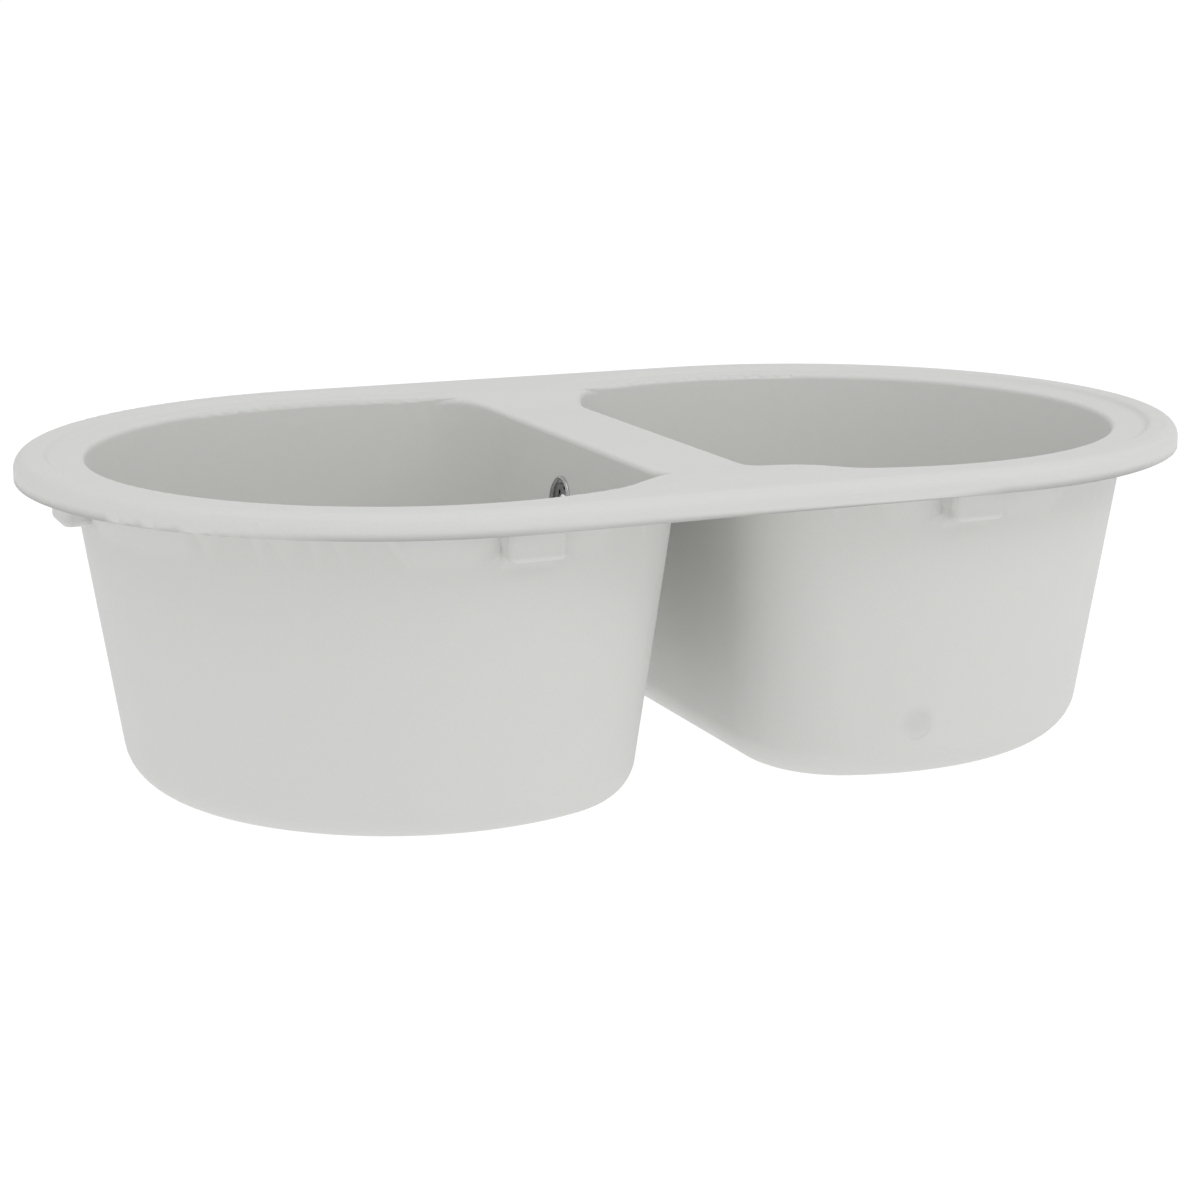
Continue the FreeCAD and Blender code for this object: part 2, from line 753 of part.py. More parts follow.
def mould_mark():
    """The shallow round mark on the front of the right bowl, square to the wall."""
    level = f"({BOTTOM_Z} + mark_height)"
    lean = math.asin(size("mark_side") / opening_radius())
    tilt = Rotation(Vector(0, 1, 0), 90 + size("wall_draft"))
    facing = Rotation(Vector(0, 0, 1), -90 - math.degrees(lean)) * tilt
    start = f"({outer_radius(level)} - mark_depth)"
    mark = rod("mould_mark", "mark_radius", "wall", facing, f"{BOWL_X} - mark_side",
               f"-sqrt({start} ^ 2 - mark_side ^ 2)", level)
    return mark


def at_overflow(thing):
    """Stand a piece on the left bowl's divider wall, its Z out of the wall and its X up along it."""
    thing.Placement = Placement(Vector(0, 0, 0), Rotation(Vector(0, -1, 0), 90 - size("flat_draft")))
    bind(thing, Placement__Base__x=f"-{inner_flat(OVERFLOW_Z)}", Placement__Base__y="overflow_side",
         Placement__Base__z=OVERFLOW_Z, Placement__Rotation__Angle="90 - flat_draft")
    doc.recompute()
    return thing


def at_drain(thing):
    """Stand a piece in the left bowl's drain, its Z = 0 on the floor of the recess."""
    bind(thing, Placement__Base__x=f"-({BOWL_X})", Placement__Base__z=SEAT_Z)
    doc.recompute()
    return thing


def strainer_dish(name):
    """The pressed steel dish that closes the drain: a flange, a cup and a dimple for the screw."""
    hole = "screw_radius + screw_hole_play"
    body = turned(name, [
        (hole, DIMPLE_LOW), ("dimple_radius", DIMPLE_LOW), ("dimple_radius", DISH_LOW),
        ("dish_radius", DISH_LOW), ("dish_radius", "seal_thickness"), ("flange_radius", "seal_thickness"),
        ("flange_radius", DISH_TOP), ("dish_radius - sheet", DISH_TOP),
        ("dish_radius - sheet", f"{DISH_LOW} + sheet"),
        ("dimple_radius - sheet", f"{DISH_LOW} + sheet"), ("dimple_radius - sheet", f"{DIMPLE_LOW} + sheet"),
        (hole, f"{DIMPLE_LOW} + sheet")])
    soften(body, name + "_lip", swept_by(body, [7]), "dish_lip_round")
    soften(body, name + "_neck", swept_by(body, [4]), "dish_lip_round - sheet")
    soften(body, name + "_bowl", swept_by(body, [8]), "dish_floor_round")
    soften(body, name + "_heel", swept_by(body, [3]), "dish_floor_round + sheet")
    grid = new_sketch(body, name + "_grid", level=f"{DISH_LOW} - overrun")
    circle(grid, "grid_hole_radius", "grid_radius")
    holes = extrude(body, name + "_hole", grid, "sheet + 2 * overrun", "Pocket", reverse=True)
    repeat(body, name + "_holes", holes, "grid_holes")
    return body


def waste_housing(name):
    """The moulded housing under the floor, with its outlet, its hub on cross ribs and the overflow inlet."""
    form = turned(name + "_form", [
        ("0", HOUSING_TOP), ("housing_flange_radius", HOUSING_TOP),
        ("housing_flange_radius", f"{HOUSING_TOP} - housing_flange_thickness"),
        ("housing_radius", f"{HOUSING_TOP} - housing_flange_thickness"), ("housing_radius", HOUSING_LOW),
        ("outlet_radius", FUNNEL_LOW), ("outlet_radius", f"{FUNNEL_LOW} - outlet_length"),
        ("0", f"{FUNNEL_LOW} - outlet_length")])
    inner = "housing_radius - housing_wall"
    bore = "outlet_radius - outlet_wall"
    cavity = turned(name + "_cavity", [
        ("0", f"{HOUSING_TOP} + overrun"), (inner, f"{HOUSING_TOP} + overrun"),
        (inner, f"{HOUSING_LOW} + housing_wall"),
        (bore, f"{FUNNEL_LOW} + housing_wall"), (bore, f"{FUNNEL_LOW} - outlet_length - overrun"),
        ("0", f"{FUNNEL_LOW} - outlet_length - overrun")])
    level = f"{HOUSING_TOP} - spigot_drop"
    back = Rotation(Vector(1, 0, 0), -90)
    run = "spigot_reach - spigot_root"
    spigot = rod(name + "_spigot", "spigot_radius", run, back, "0", "spigot_root", level)
    inlet = rod(name + "_inlet", "spigot_radius - spigot_wall", f"{run} + overrun", back,
                "0", "spigot_root", level)
    stop = rod(name + "_stop", "hose_stop_radius", "hose_stop_length", back,
               "0", "spigot_reach - hose_reach - hose_stop_length", level)
    outside = combine("MultiFuse", name + "_outside", [form, spigot, stop])
    shell = cut(name + "_shell", outside, combine("Compound", name + "_space", [cavity, inlet]))
    hub = turned(name + "_hub", [
        ("0", HUB_LOW), ("hub_radius", HUB_LOW), ("hub_radius", DIMPLE_LOW), ("0", DIMPLE_LOW)])
    reach = "(outlet_radius - outlet_wall / 2)"
    ribs = []
    for way, length, width in (("x", reach, "rib_thickness / 2"), ("y", "rib_thickness / 2", reach)):
        rib = doc.addObject("Part::Box", name + "_rib_" + way)
        bind(rib, Length=f"2 * {length}", Width=f"2 * {width}", Height="rib_height",
             Placement__Base__x=f"-{length}", Placement__Base__y=f"-{width}", Placement__Base__z=HUB_LOW)
        ribs.append(rib)
    doc.recompute()
    filled = combine("MultiFuse", name + "_filled", [shell, hub] + ribs)
    seat = f"{HUB_LOW} + clamp_insert_length"
    hole = "screw_radius + screw_hole_play"
    bores = turned(name + "_bores", [
        ("0", f"{HUB_LOW} - overrun"), ("clamp_insert_radius", f"{HUB_LOW} - overrun"),
        ("clamp_insert_radius", seat),
        (hole, seat), (hole, f"{DIMPLE_LOW} + overrun"), ("0", f"{DIMPLE_LOW} + overrun")])
    return cut(name, filled, bores)


def clamp_screw(name):
    """The raised, slotted screw that pulls the housing up to the dish."""
    seat = f"{DIMPLE_LOW} + sheet"
    top = f"{seat} + screw_head_height"
    body = turned(name, [
        ("0", HUB_LOW), ("screw_radius", HUB_LOW), ("screw_radius", seat), ("screw_head_radius", seat),
        ("screw_head_radius", top), ("0", top)])
    soften(body, name + "_dome", swept_by(body, [4]), "screw_head_height / 2")
    half = "screw_slot_width / 2"
    reach = "(screw_head_radius + overrun)"
    slot = polygon(new_sketch(body, name + "_slot", level=top), [
        (f"-{reach}", f"-{half}"), (reach, f"-{half}"), (reach, half), (f"-{reach}", half)])
    extrude(body, name + "_slot_cut", slot, "screw_slot_depth", "Pocket")
    return body


def strainer_basket(name):
    """The pressed basket: floor, sloping side and rim, pierced all round."""
    hole = "stem_radius + stem_play"
    low_in = f"{BASKET_LOW} + basket_sheet"
    body = turned(name, [
        (hole, BASKET_LOW), ("basket_floor_radius", BASKET_LOW),
        ("basket_radius", f"{BASKET_TOP} - basket_sheet"),
        ("basket_rim_radius", f"{BASKET_TOP} - basket_sheet"), ("basket_rim_radius", BASKET_TOP),
        ("basket_radius - basket_sheet", BASKET_TOP), ("basket_floor_radius - basket_sheet", low_in),
        (hole, low_in)])
    floor = circle(new_sketch(body, name + "_floor_spot", level=f"{BASKET_LOW} - overrun"),
                   "basket_floor_hole_radius", "basket_floor_hole_circle")
    holes = extrude(body, name + "_floor_hole", floor, "basket_sheet + 2 * overrun", "Pocket", reverse=True)
    repeat(body, name + "_floor_holes", holes, "basket_floor_holes")
    side = new_sketch(body, name + "_side_spots", "YZ_Plane", "basket_floor_hole_circle")
    circle(side, "basket_side_hole_radius", "0", f"{BASKET_LOW} + basket_side_hole_step")
    circle(side, "basket_side_hole_radius", "0", f"{BASKET_LOW} + 2 * basket_side_hole_step")
    holes = extrude(body, name + "_side_hole", side, "basket_rim_radius + overrun", "Pocket", reverse=True)
    repeat(body, name + "_side_holes", holes, "basket_side_holes")
    return body


def basket_plug(name):
    """The rubber stopper under the basket, hollow over the screw head."""
    hole = "stem_radius + stem_play"
    web = f"{PLUG_LOW} + plug_recess_depth"
    body = turned(name, [
        (hole, web), ("plug_recess_radius", web), ("plug_recess_radius", PLUG_LOW),
        ("plug_radius", PLUG_LOW),
        ("plug_radius", BASKET_LOW), (hole, BASKET_LOW)])
    soften(body, name + "_edge", swept_by(body, [3, 4]), "plug_edge_round")
    return body


def basket_knob(name):
    """The turned knob and stem, riveted over under the stopper."""
    web = f"({PLUG_LOW} + plug_recess_depth - washer_thickness)"
    floor = f"({BASKET_LOW} + basket_sheet)"
    grip = f"({BASKET_TOP} + knob_clearance)"
    body = turned(name, [
        ("0", f"{web} - rivet_height"), ("rivet_radius", f"{web} - rivet_height"), ("rivet_radius", web),
        ("stem_radius", web), ("stem_radius", floor), ("collar_radius", floor),
        ("collar_radius", f"{floor} + collar_height"), ("stem_radius", f"{floor} + collar_height"),
        ("stem_radius", grip), ("knob_radius", grip), ("knob_radius", f"{grip} + knob_height"),
        ("0", f"{grip} + knob_height")])
    soften(body, name + "_grip", swept_by(body, [9, 10]), "knob_round")
    return body


def wastes():
    """Both bowls' wastes, from the dish down to the outlet, and their baskets."""
    lead = "left_"
    pieces = [
        ring(lead + "dish_seal", "drain_radius + seal_inset", "flange_radius - seal_inset",
             "0", "seal_thickness"),
        strainer_dish(lead + "strainer_dish"),
        ring(lead + "housing_seal", "drain_radius + 2 * seal_inset", "housing_flange_radius - seal_inset",
             HOUSING_TOP, "-floor_thickness"),
        waste_housing(lead + "waste_housing"),
        clamp_screw(lead + "clamp_screw"),
        ring(lead + "clamp_insert", "screw_radius + screw_play", "clamp_insert_radius - insert_play",
             HUB_LOW, f"{HUB_LOW} + clamp_insert_length"),
        strainer_basket(lead + "strainer_basket"),
        basket_plug(lead + "basket_plug"),
        ring(lead + "plug_washer", "stem_radius + stem_play", "washer_radius",
             f"{PLUG_LOW} + plug_recess_depth - washer_thickness", f"{PLUG_LOW} + plug_recess_depth"),
        basket_knob(lead + "basket_knob"),
    ]
    for piece in pieces:
        at_drain(piece)
    names = [piece.Label for piece in pieces]
    for piece, name in zip(pieces, [name.replace("left", "right") for name in names]):
        names.append(mirrored(name, piece).Label)
    return names


def inlet_cap(name):
    """The cap that closes the overflow inlet that the right bowl doesn't use."""
    inner = "(spigot_radius + spigot_cap_play)"
    wall = "spigot_cap_wall"
    body = turned(name, [
        (inner, "0"), (f"{inner} + {wall}", "0"), (f"{inner} + {wall}", "spigot_cap_length"),
        ("0", "spigot_cap_length"), ("0", f"spigot_cap_length - {wall}"),
        (inner, f"spigot_cap_length - {wall}")])
    soften(body, name + "_edge", swept_by(body, [2]), f"{wall} / 2")
    body.Placement = Placement(Vector(0, 0, 0), Rotation(Vector(1, 0, 0), -90))
    bind(body, Placement__Base__x=BOWL_X, Placement__Base__y=f"spigot_reach - spigot_cap_length + {wall}",
         Placement__Base__z=f"{SEAT_Z} + {HOUSING_TOP} - spigot_drop")
    doc.recompute()
    return body


def overflow_cover(name):
    """The plated ring with its dished, pierced middle."""
    skirt = "(overflow_radius - cover_skirt_play)"
    low = "(-cover_dish_depth - cover_sheet)"
    hole = "cover_screw_radius + screw_hole_play"
    body = turned(name, [
        (hole, low), (skirt, low), (skirt, "0"), ("cover_radius", "0"),
        ("cover_radius", "cover_height - cover_bevel"), ("cover_radius - cover_bevel", "cover_height"),
        ("cover_radius - cover_ring_width", "cover_height"), ("cover_throat_radius", "cover_throat_height"),
        ("cover_dish_radius", "-cover_dish_depth"), (hole, "-cover_dish_depth")])
    soften(body, name + "_bevel", swept_by(body, [4, 5]), "cover_bevel / 2")
    spot = new_sketch(body, name + "_spot", level=f"{low} - overrun")
    circle(spot, "cover_hole_radius", "cover_hole_circle")
    holes = extrude(body, name + "_hole", spot, "cover_sheet + 2 * overrun", "Pocket", reverse=True)
    repeat(body, name + "_holes", holes, "cover_holes")
    return body


def overflow_screw(name):
    """The raised, slotted screw through the cover into the elbow's post."""
    top = "(cover_screw_head_height - cover_dish_depth)"
    low = "(-cover_dish_depth - cover_screw_length)"
    body = turned(name, [
        ("0", low), ("cover_screw_radius", low), ("cover_screw_radius", "-cover_dish_depth"),
        ("cover_screw_head_radius", "-cover_dish_depth"), ("cover_screw_head_radius", top), ("0", top)])
    soften(body, name + "_dome", swept_by(body, [4]), "cover_screw_head_height / 2")
    half = "cover_slot_width / 2"
    reach = "(cover_screw_head_radius + overrun)"
    slot = polygon(new_sketch(body, name + "_slot", level=top), [
        (f"-{half}", f"-{reach}"), (half, f"-{reach}"), (half, reach), (f"-{half}", reach)])
    extrude(body, name + "_slot_cut", slot, "cover_screw_head_height / 2", "Pocket")
    return body


def overflow_elbow(name):
    """The moulded elbow behind the wall, with a post for the screw and a spigot down the wall."""
    form = turned(name + "_form", [
        ("0", ELBOW_LOW), ("elbow_radius", ELBOW_LOW),
        ("elbow_radius", f"{ELBOW_TOP} - elbow_flange_thickness"),
        ("elbow_flange_radius", f"{ELBOW_TOP} - elbow_flange_thickness"), ("elbow_flange_radius", ELBOW_TOP),
        ("0", ELBOW_TOP)])
    inner = "elbow_radius - elbow_wall"
    pilot = "cover_screw_radius + screw_play"
    cavity = turned(name + "_cavity", [
        ("0", f"{POST_TOP} - elbow_pilot_depth"), (pilot, f"{POST_TOP} - elbow_pilot_depth"),
        (pilot, POST_TOP),
        ("elbow_post_radius", POST_TOP), ("elbow_post_radius", f"{ELBOW_LOW} + elbow_wall"),
        (inner, f"{ELBOW_LOW} + elbow_wall"), (inner, f"{ELBOW_TOP} + overrun"),
        ("0", f"{ELBOW_TOP} + overrun")])
    level = f"{ELBOW_LOW} + spigot_radius + elbow_spigot_inset"
    down = Rotation(Vector(0, 1, 0), -90)
    start = "-elbow_radius / 2"
    run = "elbow_spigot_reach - elbow_radius / 2"
    spigot = rod(name + "_spigot", "spigot_radius", run, down, start, "0", level)
    outlet = rod(name + "_outlet", "spigot_radius - spigot_wall", f"{run} + overrun", down,
                 start, "0", level)
    stop = rod(name + "_stop", "hose_stop_radius", "hose_stop_length", down,
               "hose_reach + hose_stop_length - elbow_spigot_reach", "0", level)
    outside = combine("MultiFuse", name + "_outside", [form, spigot, stop])
    return cut(name, outside, combine("Compound", name + "_space", [cavity, outlet]))


def overflow():
    """The overflow of the left bowl."""
    pieces = [
        overflow_cover("overflow_cover"),
        overflow_screw("overflow_screw"),
        ring("overflow_gasket", "overflow_radius + seal_inset / 2", "overflow_gasket_radius",
             ELBOW_TOP, "-wall"),
        overflow_elbow("overflow_elbow"),
    ]
    for piece in pieces:
        at_overflow(piece)
    return [piece.Label for piece in pieces]


sink_body()
FILES = ["sink_body", combine("Compound", "clip_inserts", [insert(*spot) for spot in lug_places()]).Label]
FILES += wastes() + [inlet_cap("right_inlet_cap").Label] + overflow()

broken = [thing.Name for thing in doc.Objects if "Invalid" in thing.State or "Error" in thing.State]
if broken:
    raise RuntimeError("failed objects: " + ", ".join(broken))
os.makedirs("parts", exist_ok=True)
for label in FILES:
    shape = doc.getObjectsByLabel(label)[0].Shape
    if shape.isNull() or not shape.isValid():
        raise RuntimeError("bad shape: " + label)
    shape.exportStep(f"parts/{label}.step")
    print(label, len(shape.Solids), round(shape.Volume / 1000, 1), shape.BoundBox)
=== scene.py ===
"""Double bowl composite sink: finishes, wastes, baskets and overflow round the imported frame."""

import json
import math

import bmesh
import bpy
from bpy.props import FloatProperty, FloatVectorProperty, IntProperty, PointerProperty
from mathutils import Matrix, Vector


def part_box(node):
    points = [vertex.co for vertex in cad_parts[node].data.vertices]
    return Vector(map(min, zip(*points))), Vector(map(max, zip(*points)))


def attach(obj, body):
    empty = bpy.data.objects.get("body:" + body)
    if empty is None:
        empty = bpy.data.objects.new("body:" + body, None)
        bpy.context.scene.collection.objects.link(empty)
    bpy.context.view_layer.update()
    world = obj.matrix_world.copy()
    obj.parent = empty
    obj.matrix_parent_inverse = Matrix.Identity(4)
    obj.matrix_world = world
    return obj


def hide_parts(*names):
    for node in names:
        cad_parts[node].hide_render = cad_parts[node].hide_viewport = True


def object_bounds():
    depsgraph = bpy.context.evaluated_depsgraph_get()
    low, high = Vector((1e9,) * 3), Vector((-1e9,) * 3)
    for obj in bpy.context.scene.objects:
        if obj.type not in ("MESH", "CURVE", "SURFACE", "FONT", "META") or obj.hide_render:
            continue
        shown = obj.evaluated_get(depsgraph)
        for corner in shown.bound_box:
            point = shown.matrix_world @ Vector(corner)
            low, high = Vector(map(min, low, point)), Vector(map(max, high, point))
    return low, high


bl_info = {
    "name": "Double Bowl Sink",
    "version": (1, 0, 0),
    "blender": (4, 5, 0),
    "location": "View3D > Sidebar > Sink",
    "description": "Dresses a composite sink with its finishes, baskets, wastes and overflow",
    "category": "Object",
}

MM = 0.001
FULL_TURN = 2 * math.pi
SIDES = ("left", "right")
SINK = "sink"
MERGE_DISTANCE = 0.001 * MM
LEVEL_TOLERANCE = 0.01 * MM
STEM_CLEARANCE = 0.1 * MM
FITTING_CREASE = 35.0  # degrees
SENSOR_WIDTH = 36.0  # millimetres, as Blender's camera takes it
LAMP_PLACES = {"key": (2.2, -1.9, 2.6), "fill": (0.3, -3.0, 2.6), "side": (-1.6, -0.3, 2.8)}  # metres

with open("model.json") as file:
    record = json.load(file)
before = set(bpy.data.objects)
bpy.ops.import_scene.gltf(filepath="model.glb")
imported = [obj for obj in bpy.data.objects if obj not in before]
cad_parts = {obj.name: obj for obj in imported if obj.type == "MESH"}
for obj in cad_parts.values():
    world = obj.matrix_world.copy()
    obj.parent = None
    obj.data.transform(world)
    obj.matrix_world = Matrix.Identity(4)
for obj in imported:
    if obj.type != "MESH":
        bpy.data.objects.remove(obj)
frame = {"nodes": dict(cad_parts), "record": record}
CAD_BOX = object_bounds()


# Places read from the frame

def node_centre(node):
    low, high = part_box(node)
    return (low + high) / 2


def drain_seat(side):
    """The middle of a bowl's drain, level with the floor of its recess."""
    low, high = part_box(f"{side}_dish_seal")
    return Vector(((low.x + high.x) / 2, (low.y + high.y) / 2, low.z))


def overflow_place():
    """The overflow's own axes: Z out of the wall into the bowl, X up along it, and 0 on its face."""
    down = Vector(mount("overflow_outlet")["axis"])
    out = Vector((down.z, 0.0, -down.x))
    place = Matrix((-down, out.cross(-down), out)).transposed().to_4x4()
    wall, half_gasket = 10.0 * MM, 1.0 * MM
    place.translation = node_centre("overflow_gasket") + out * (wall + half_gasket)
    return place


def mount(name):
    return next(entry for entry in frame["record"]["mounts"] if entry["name"] == name)


# Settings

def length(name, description, default, **more):
    """A length in millimetres in the text, kept in metres as Blender keeps it."""
    return FloatProperty(name=name, description=description, default=default * MM,
                         subtype="DISTANCE", unit="LENGTH", precision=5, **more)


def colour(name, description, default):
    return FloatVectorProperty(name=name, description=description, default=default,
                               subtype="COLOR", size=3, min=0.0, max=1.0)


def share(name, description, default):
    return FloatProperty(name=name, description=description, default=default,
                         subtype="FACTOR", min=0.0, max=1.0)


def amount(name, description, default):
    return FloatProperty(name=name, description=description, default=default, min=0.0)


class SinkFinishSettings(bpy.types.PropertyGroup):
    """Colours and grain of every finish."""
    stone_colour: colour("Composite", "Colour of the moulding", (0.62, 0.62, 0.604))
    stone_fleck: colour("Flecks", "Colour of the fine granules in the moulding", (0.587, 0.587, 0.571))
    stone_grain: length("Grain", "Size of the granules", 0.5)
    mark_place: FloatVectorProperty(name="Mould mark", description="Middle of the mark that the mould leaves",
                                    default=(0.127, -0.183, -0.155), subtype="TRANSLATION", unit="LENGTH")
    mark_radius: length("Mould mark radius", "Radius of the mark that the mould leaves", 13.0)
    # Painted shade: the share by which the colour is darkened over the mould mark's shallow recess.
    mark_painted_shade: colour("Mould mark tint", "How much darker the mark is", (0.93, 0.93, 0.93))
    stone_relief: length("Relief", "Depth of the grain", 0.006)
    stone_roughness: share("Composite roughness", "Roughness of the moulding", 0.66)
    chrome_colour: colour("Chrome", "Colour of the plated pieces", (0.80, 0.80, 0.81))
    # Painted shade: the overflow ring's chrome colour is darkened to stand in for the shade and dark
    # reflections it takes low in the bowl.
    ring_painted_shade_colour: colour("Dull chrome", "Colour of the overflow's satin plating", (0.42, 0.42, 0.42))
    # Painted shade: the overflow dish's chrome colour is darkened further to stand in for the shade in its
    # hollow, deep in the bowl.
    dish_painted_shade_colour: colour("Overflow dish", "Colour of the overflow's dark dish", (0.30, 0.30, 0.30))
    steel_colour: colour("Steel", "Colour of the pressed steel", (0.60, 0.60, 0.59))
    brass_colour: colour("Brass", "Colour of the threaded inserts", (0.62, 0.44, 0.18))
    rubber_colour: colour("Rubber", "Colour of the seals and stoppers", (0.028, 0.028, 0.030))
    plastic_colour: colour("Plastic", "Colour of the moulded fittings", (0.78, 0.78, 0.75))


class SinkMouldingSettings(bpy.types.PropertyGroup):
    """Slope at each end of the divider, and the shading of the moulding."""
    divider_drop: length("Divider drop", "Depth of the divider's top below the rim", 7.8)
    divider_half: length("Divider half width", "Half the width of the divider's flat top", 26.0)
    opening_reach: length("Opening reach", "Radius that holds the inside of each bowl", 198.0)
    slope_start: length("Slope start", "Where the slope leaves the divider, from the middle", 118.0)
    slope_end: length("Slope end", "Where the slope meets the band, from the middle", 190.0)
    band_reach: length("Band reach", "Where the rim's flat band ends, from the middle", 230.0)
    slope_depth: length("Slope depth", "How far down the bowls' walls stretch with it", 27.0)
    fade_start: length("Fade start", "Where the slope begins to die out sideways", 34.0)
    fade_end: length("Fade end", "Where the slope has died out sideways", 84.0)
    cuts: IntProperty(name="Cuts", description="Cuts each way in the bent part of the top", default=10, min=2)
    crease: FloatProperty(name="Crease", description="Angle from which the moulding's edges are sharp",
                          default=math.radians(32.0), subtype="ANGLE", unit="ROTATION")


class SinkBasketSettings(bpy.types.PropertyGroup):
    """Sizes of the lift-out baskets, their stoppers and knobs."""
    sheet: length("Sheet", "Thickness of the pressed steel", 1.0)
    floor_radius: length("Floor radius", "Radius of the basket's floor", 30.0)
    top_radius: length("Top radius", "Radius of the basket's side at the rim", 38.0)
    rim_radius: length("Rim radius", "Radius of the rolled rim", 41.0)
    rim_roll: length("Rim roll", "Depth of the rolled rim", 1.6)
    bead_height: length("Bead height", "Height of the pressed ring in the floor", 0.8)
    floor_hole: length("Floor hole radius", "Radius of the holes in the floor", 1.6)
    side_hole: length("Side hole radius", "Radius of the holes in the side", 1.9)
    floor_holes: IntProperty(name="Floor holes", description="Holes in the outer ring of the floor",
                             default=20, min=4)
    side_holes: IntProperty(name="Side holes", description="Holes in each row of the side", default=24, min=4)
    stem_radius: length("Stem radius", "Radius of the stem", 3.0)
    knob_radius: length("Knob radius", "Radius of the knob", 9.0)
    plug_radius: length("Stopper radius", "Radius of the rubber stopper", 24.0)


class SinkDishSettings(bpy.types.PropertyGroup):
    """Sizes of the strainer dishes in the bowl floors."""
    sheet: length("Sheet", "Thickness of the pressed steel", 1.2)
    flange_radius: length("Flange radius", "Radius of the flange on the bowl's floor", 56.5)
    cup_radius: length("Cup radius", "Outer radius of the cup", 43.5)
    bead_radius: length("Bead radius", "Radius of the pressed bead in the flange", 50.5)
    dimple_radius: length("Dimple radius", "Outer radius of the dimple round the screw", 12.0)
    grid_radius: length("Grid radius", "Radius of the ring of water holes", 16.8)
    grid_hole: length("Grid hole radius", "Radius of each water hole", 3.4)
    grid_holes: IntProperty(name="Grid holes", description="Water holes round the dimple", default=8, min=3)


class SinkFittingSettings(bpy.types.PropertyGroup):
    """Sizes of the moulded detail on the fittings below the bowls."""
    gusset_thickness: length("Gusset thickness", "Thickness of the gussets under the flange", 1.6)
    gussets: IntProperty(name="Gussets", description="Gussets round each waste housing", default=16, min=3)
    thread_pitch: length("Thread pitch", "Distance between turns on the outlet", 2.0)
    thread_height: length("Thread height", "How far the outlet's thread stands out", 0.7)
    hose_radius: length("Hose radius", "Outer radius of the hose spigots", 8.0)
    hose_collar: length("Hose collar", "Radius of the collar that stops the hose", 10.0)
    hose_bore: length("Hose bore", "Radius of the bore in the hose spigots", 6.0)
    spigot_length: length("Spigot length", "How far the hose goes onto a spigot", 20.0)
    barb_height: length("Barb height", "How far the hose barbs stand out", 0.8)
    barb_length: length("Barb length", "Length of each hose barb", 4.0)
    barbs: IntProperty(name="Barbs", description="Barbs on each hose spigot", default=3, min=1)
    grip_ribs: IntProperty(name="Grip ribs", description="Ribs round the cap", default=18, min=6)


class SinkOverflowSettings(bpy.types.PropertyGroup):
    """Sizes of the overflow cover on the left bowl's divider wall."""
    ring_radius: length("Ring radius", "Outer radius of the plated ring", 15.8)
    ring_height: length("Ring height", "How far the ring stands out of the wall", 1.8)
    throat_radius: length("Throat radius", "Radius where the ring turns in", 13.8)
    dish_radius: length("Dish radius", "Radius of the dish's flat middle", 10.6)
    dish_depth: length("Dish depth", "Depth of the dish below the wall", 2.2)
    hole_radius: length("Hole radius", "Radius of the holes in the dish", 1.5)
    hole_circle: length("Hole circle", "Radius of the circle of holes", 8.0)
    holes: IntProperty(name="Holes", description="Holes in the dish", default=6, min=3)
    screw_radius: length("Screw head radius", "Radius of the screw's head", 4.2)


class SinkStageSettings(bpy.types.PropertyGroup):
    """Camera, floor and light."""
    heading: FloatProperty(name="Heading", description="Camera heading, 0 looks along +Y",
                           default=math.radians(-23.67), subtype="ANGLE", unit="ROTATION")
    tilt: FloatProperty(name="Tilt", description="Camera height above the horizon",
                        default=math.radians(13.32), subtype="ANGLE", unit="ROTATION")
    distance: FloatProperty(name="Distance", description="From the camera to the middle of the rim",
                            default=1.66658, unit="LENGTH")
    aside: FloatProperty(name="Aside", description="How far the camera looks to one side of the middle",
                         default=-0.01074, unit="LENGTH")
    raised: FloatProperty(name="Raised", description="How far the camera looks above the top of the rim",
                          default=-0.11847, unit="LENGTH")
    lens: FloatProperty(name="Lens", description="Focal length in millimetres on a 36 mm sensor",
                        default=74.764, min=10.0)
    floor_colour: colour("Floor", "Colour of the floor's surface", (0.10, 0.10, 0.10))
    floor_reach: amount("Floor reach", "Half the width of the floor, in metres", 200.0)
    floor_glow: amount("Floor glow", "Strength of the light table's own light", 0.97)
    sky_colour: colour("Sky", "Colour of the soft light from all round", (1.0, 1.0, 1.0))
    sky_strength: amount("Sky strength", "Strength of the light from above", 0.78)
    horizon_strength: amount("Horizon strength", "Strength of the light at the horizon", 1.03)
    key_power: amount("Key light", "Power of the light from the right, in watts", 22.0)
    fill_power: amount("Fill light", "Power of the light from the front, in watts", 12.0)
    side_power: amount("Side light", "Power of the light from the left, in watts", 16.0)
    lamp_size: amount("Lamp size", "Width of each light, in metres", 2.2)


# Materials

def material(name, roughness=0.5, metallic=0.0):
    """A new material with a Principled shader."""
    made = bpy.data.materials.new(name)
    made.use_nodes = True
    shader = made.node_tree.nodes["Principled BSDF"]
    shader.inputs["Roughness"].default_value = roughness
    shader.inputs["Metallic"].default_value = metallic
    return made, shader


def node(tree, kind, **values):
    """A shader node whose named inputs or properties are set."""
    made = tree.nodes.new("ShaderNode" + kind)
    for name, value in values.items():
        if hasattr(made, name):
            setattr(made, name, value)
        else:
            made.inputs[name.replace("_", " ")].default_value = value
    return made


def object_point(tree, centre=(0, 0, 0), stretch=(1, 1, 1)):
    """Object coordinates, centred on a place and stretched."""
    source = node(tree, "TexCoord")
    shift = node(tree, "Mapping")
    shift.inputs["Location"].default_value = tuple(-value * scale for value, scale in zip(centre, stretch))
    shift.inputs["Scale"].default_value = stretch
    tree.links.new(source.outputs["Object"], shift.inputs["Vector"])
    return shift.outputs["Vector"]


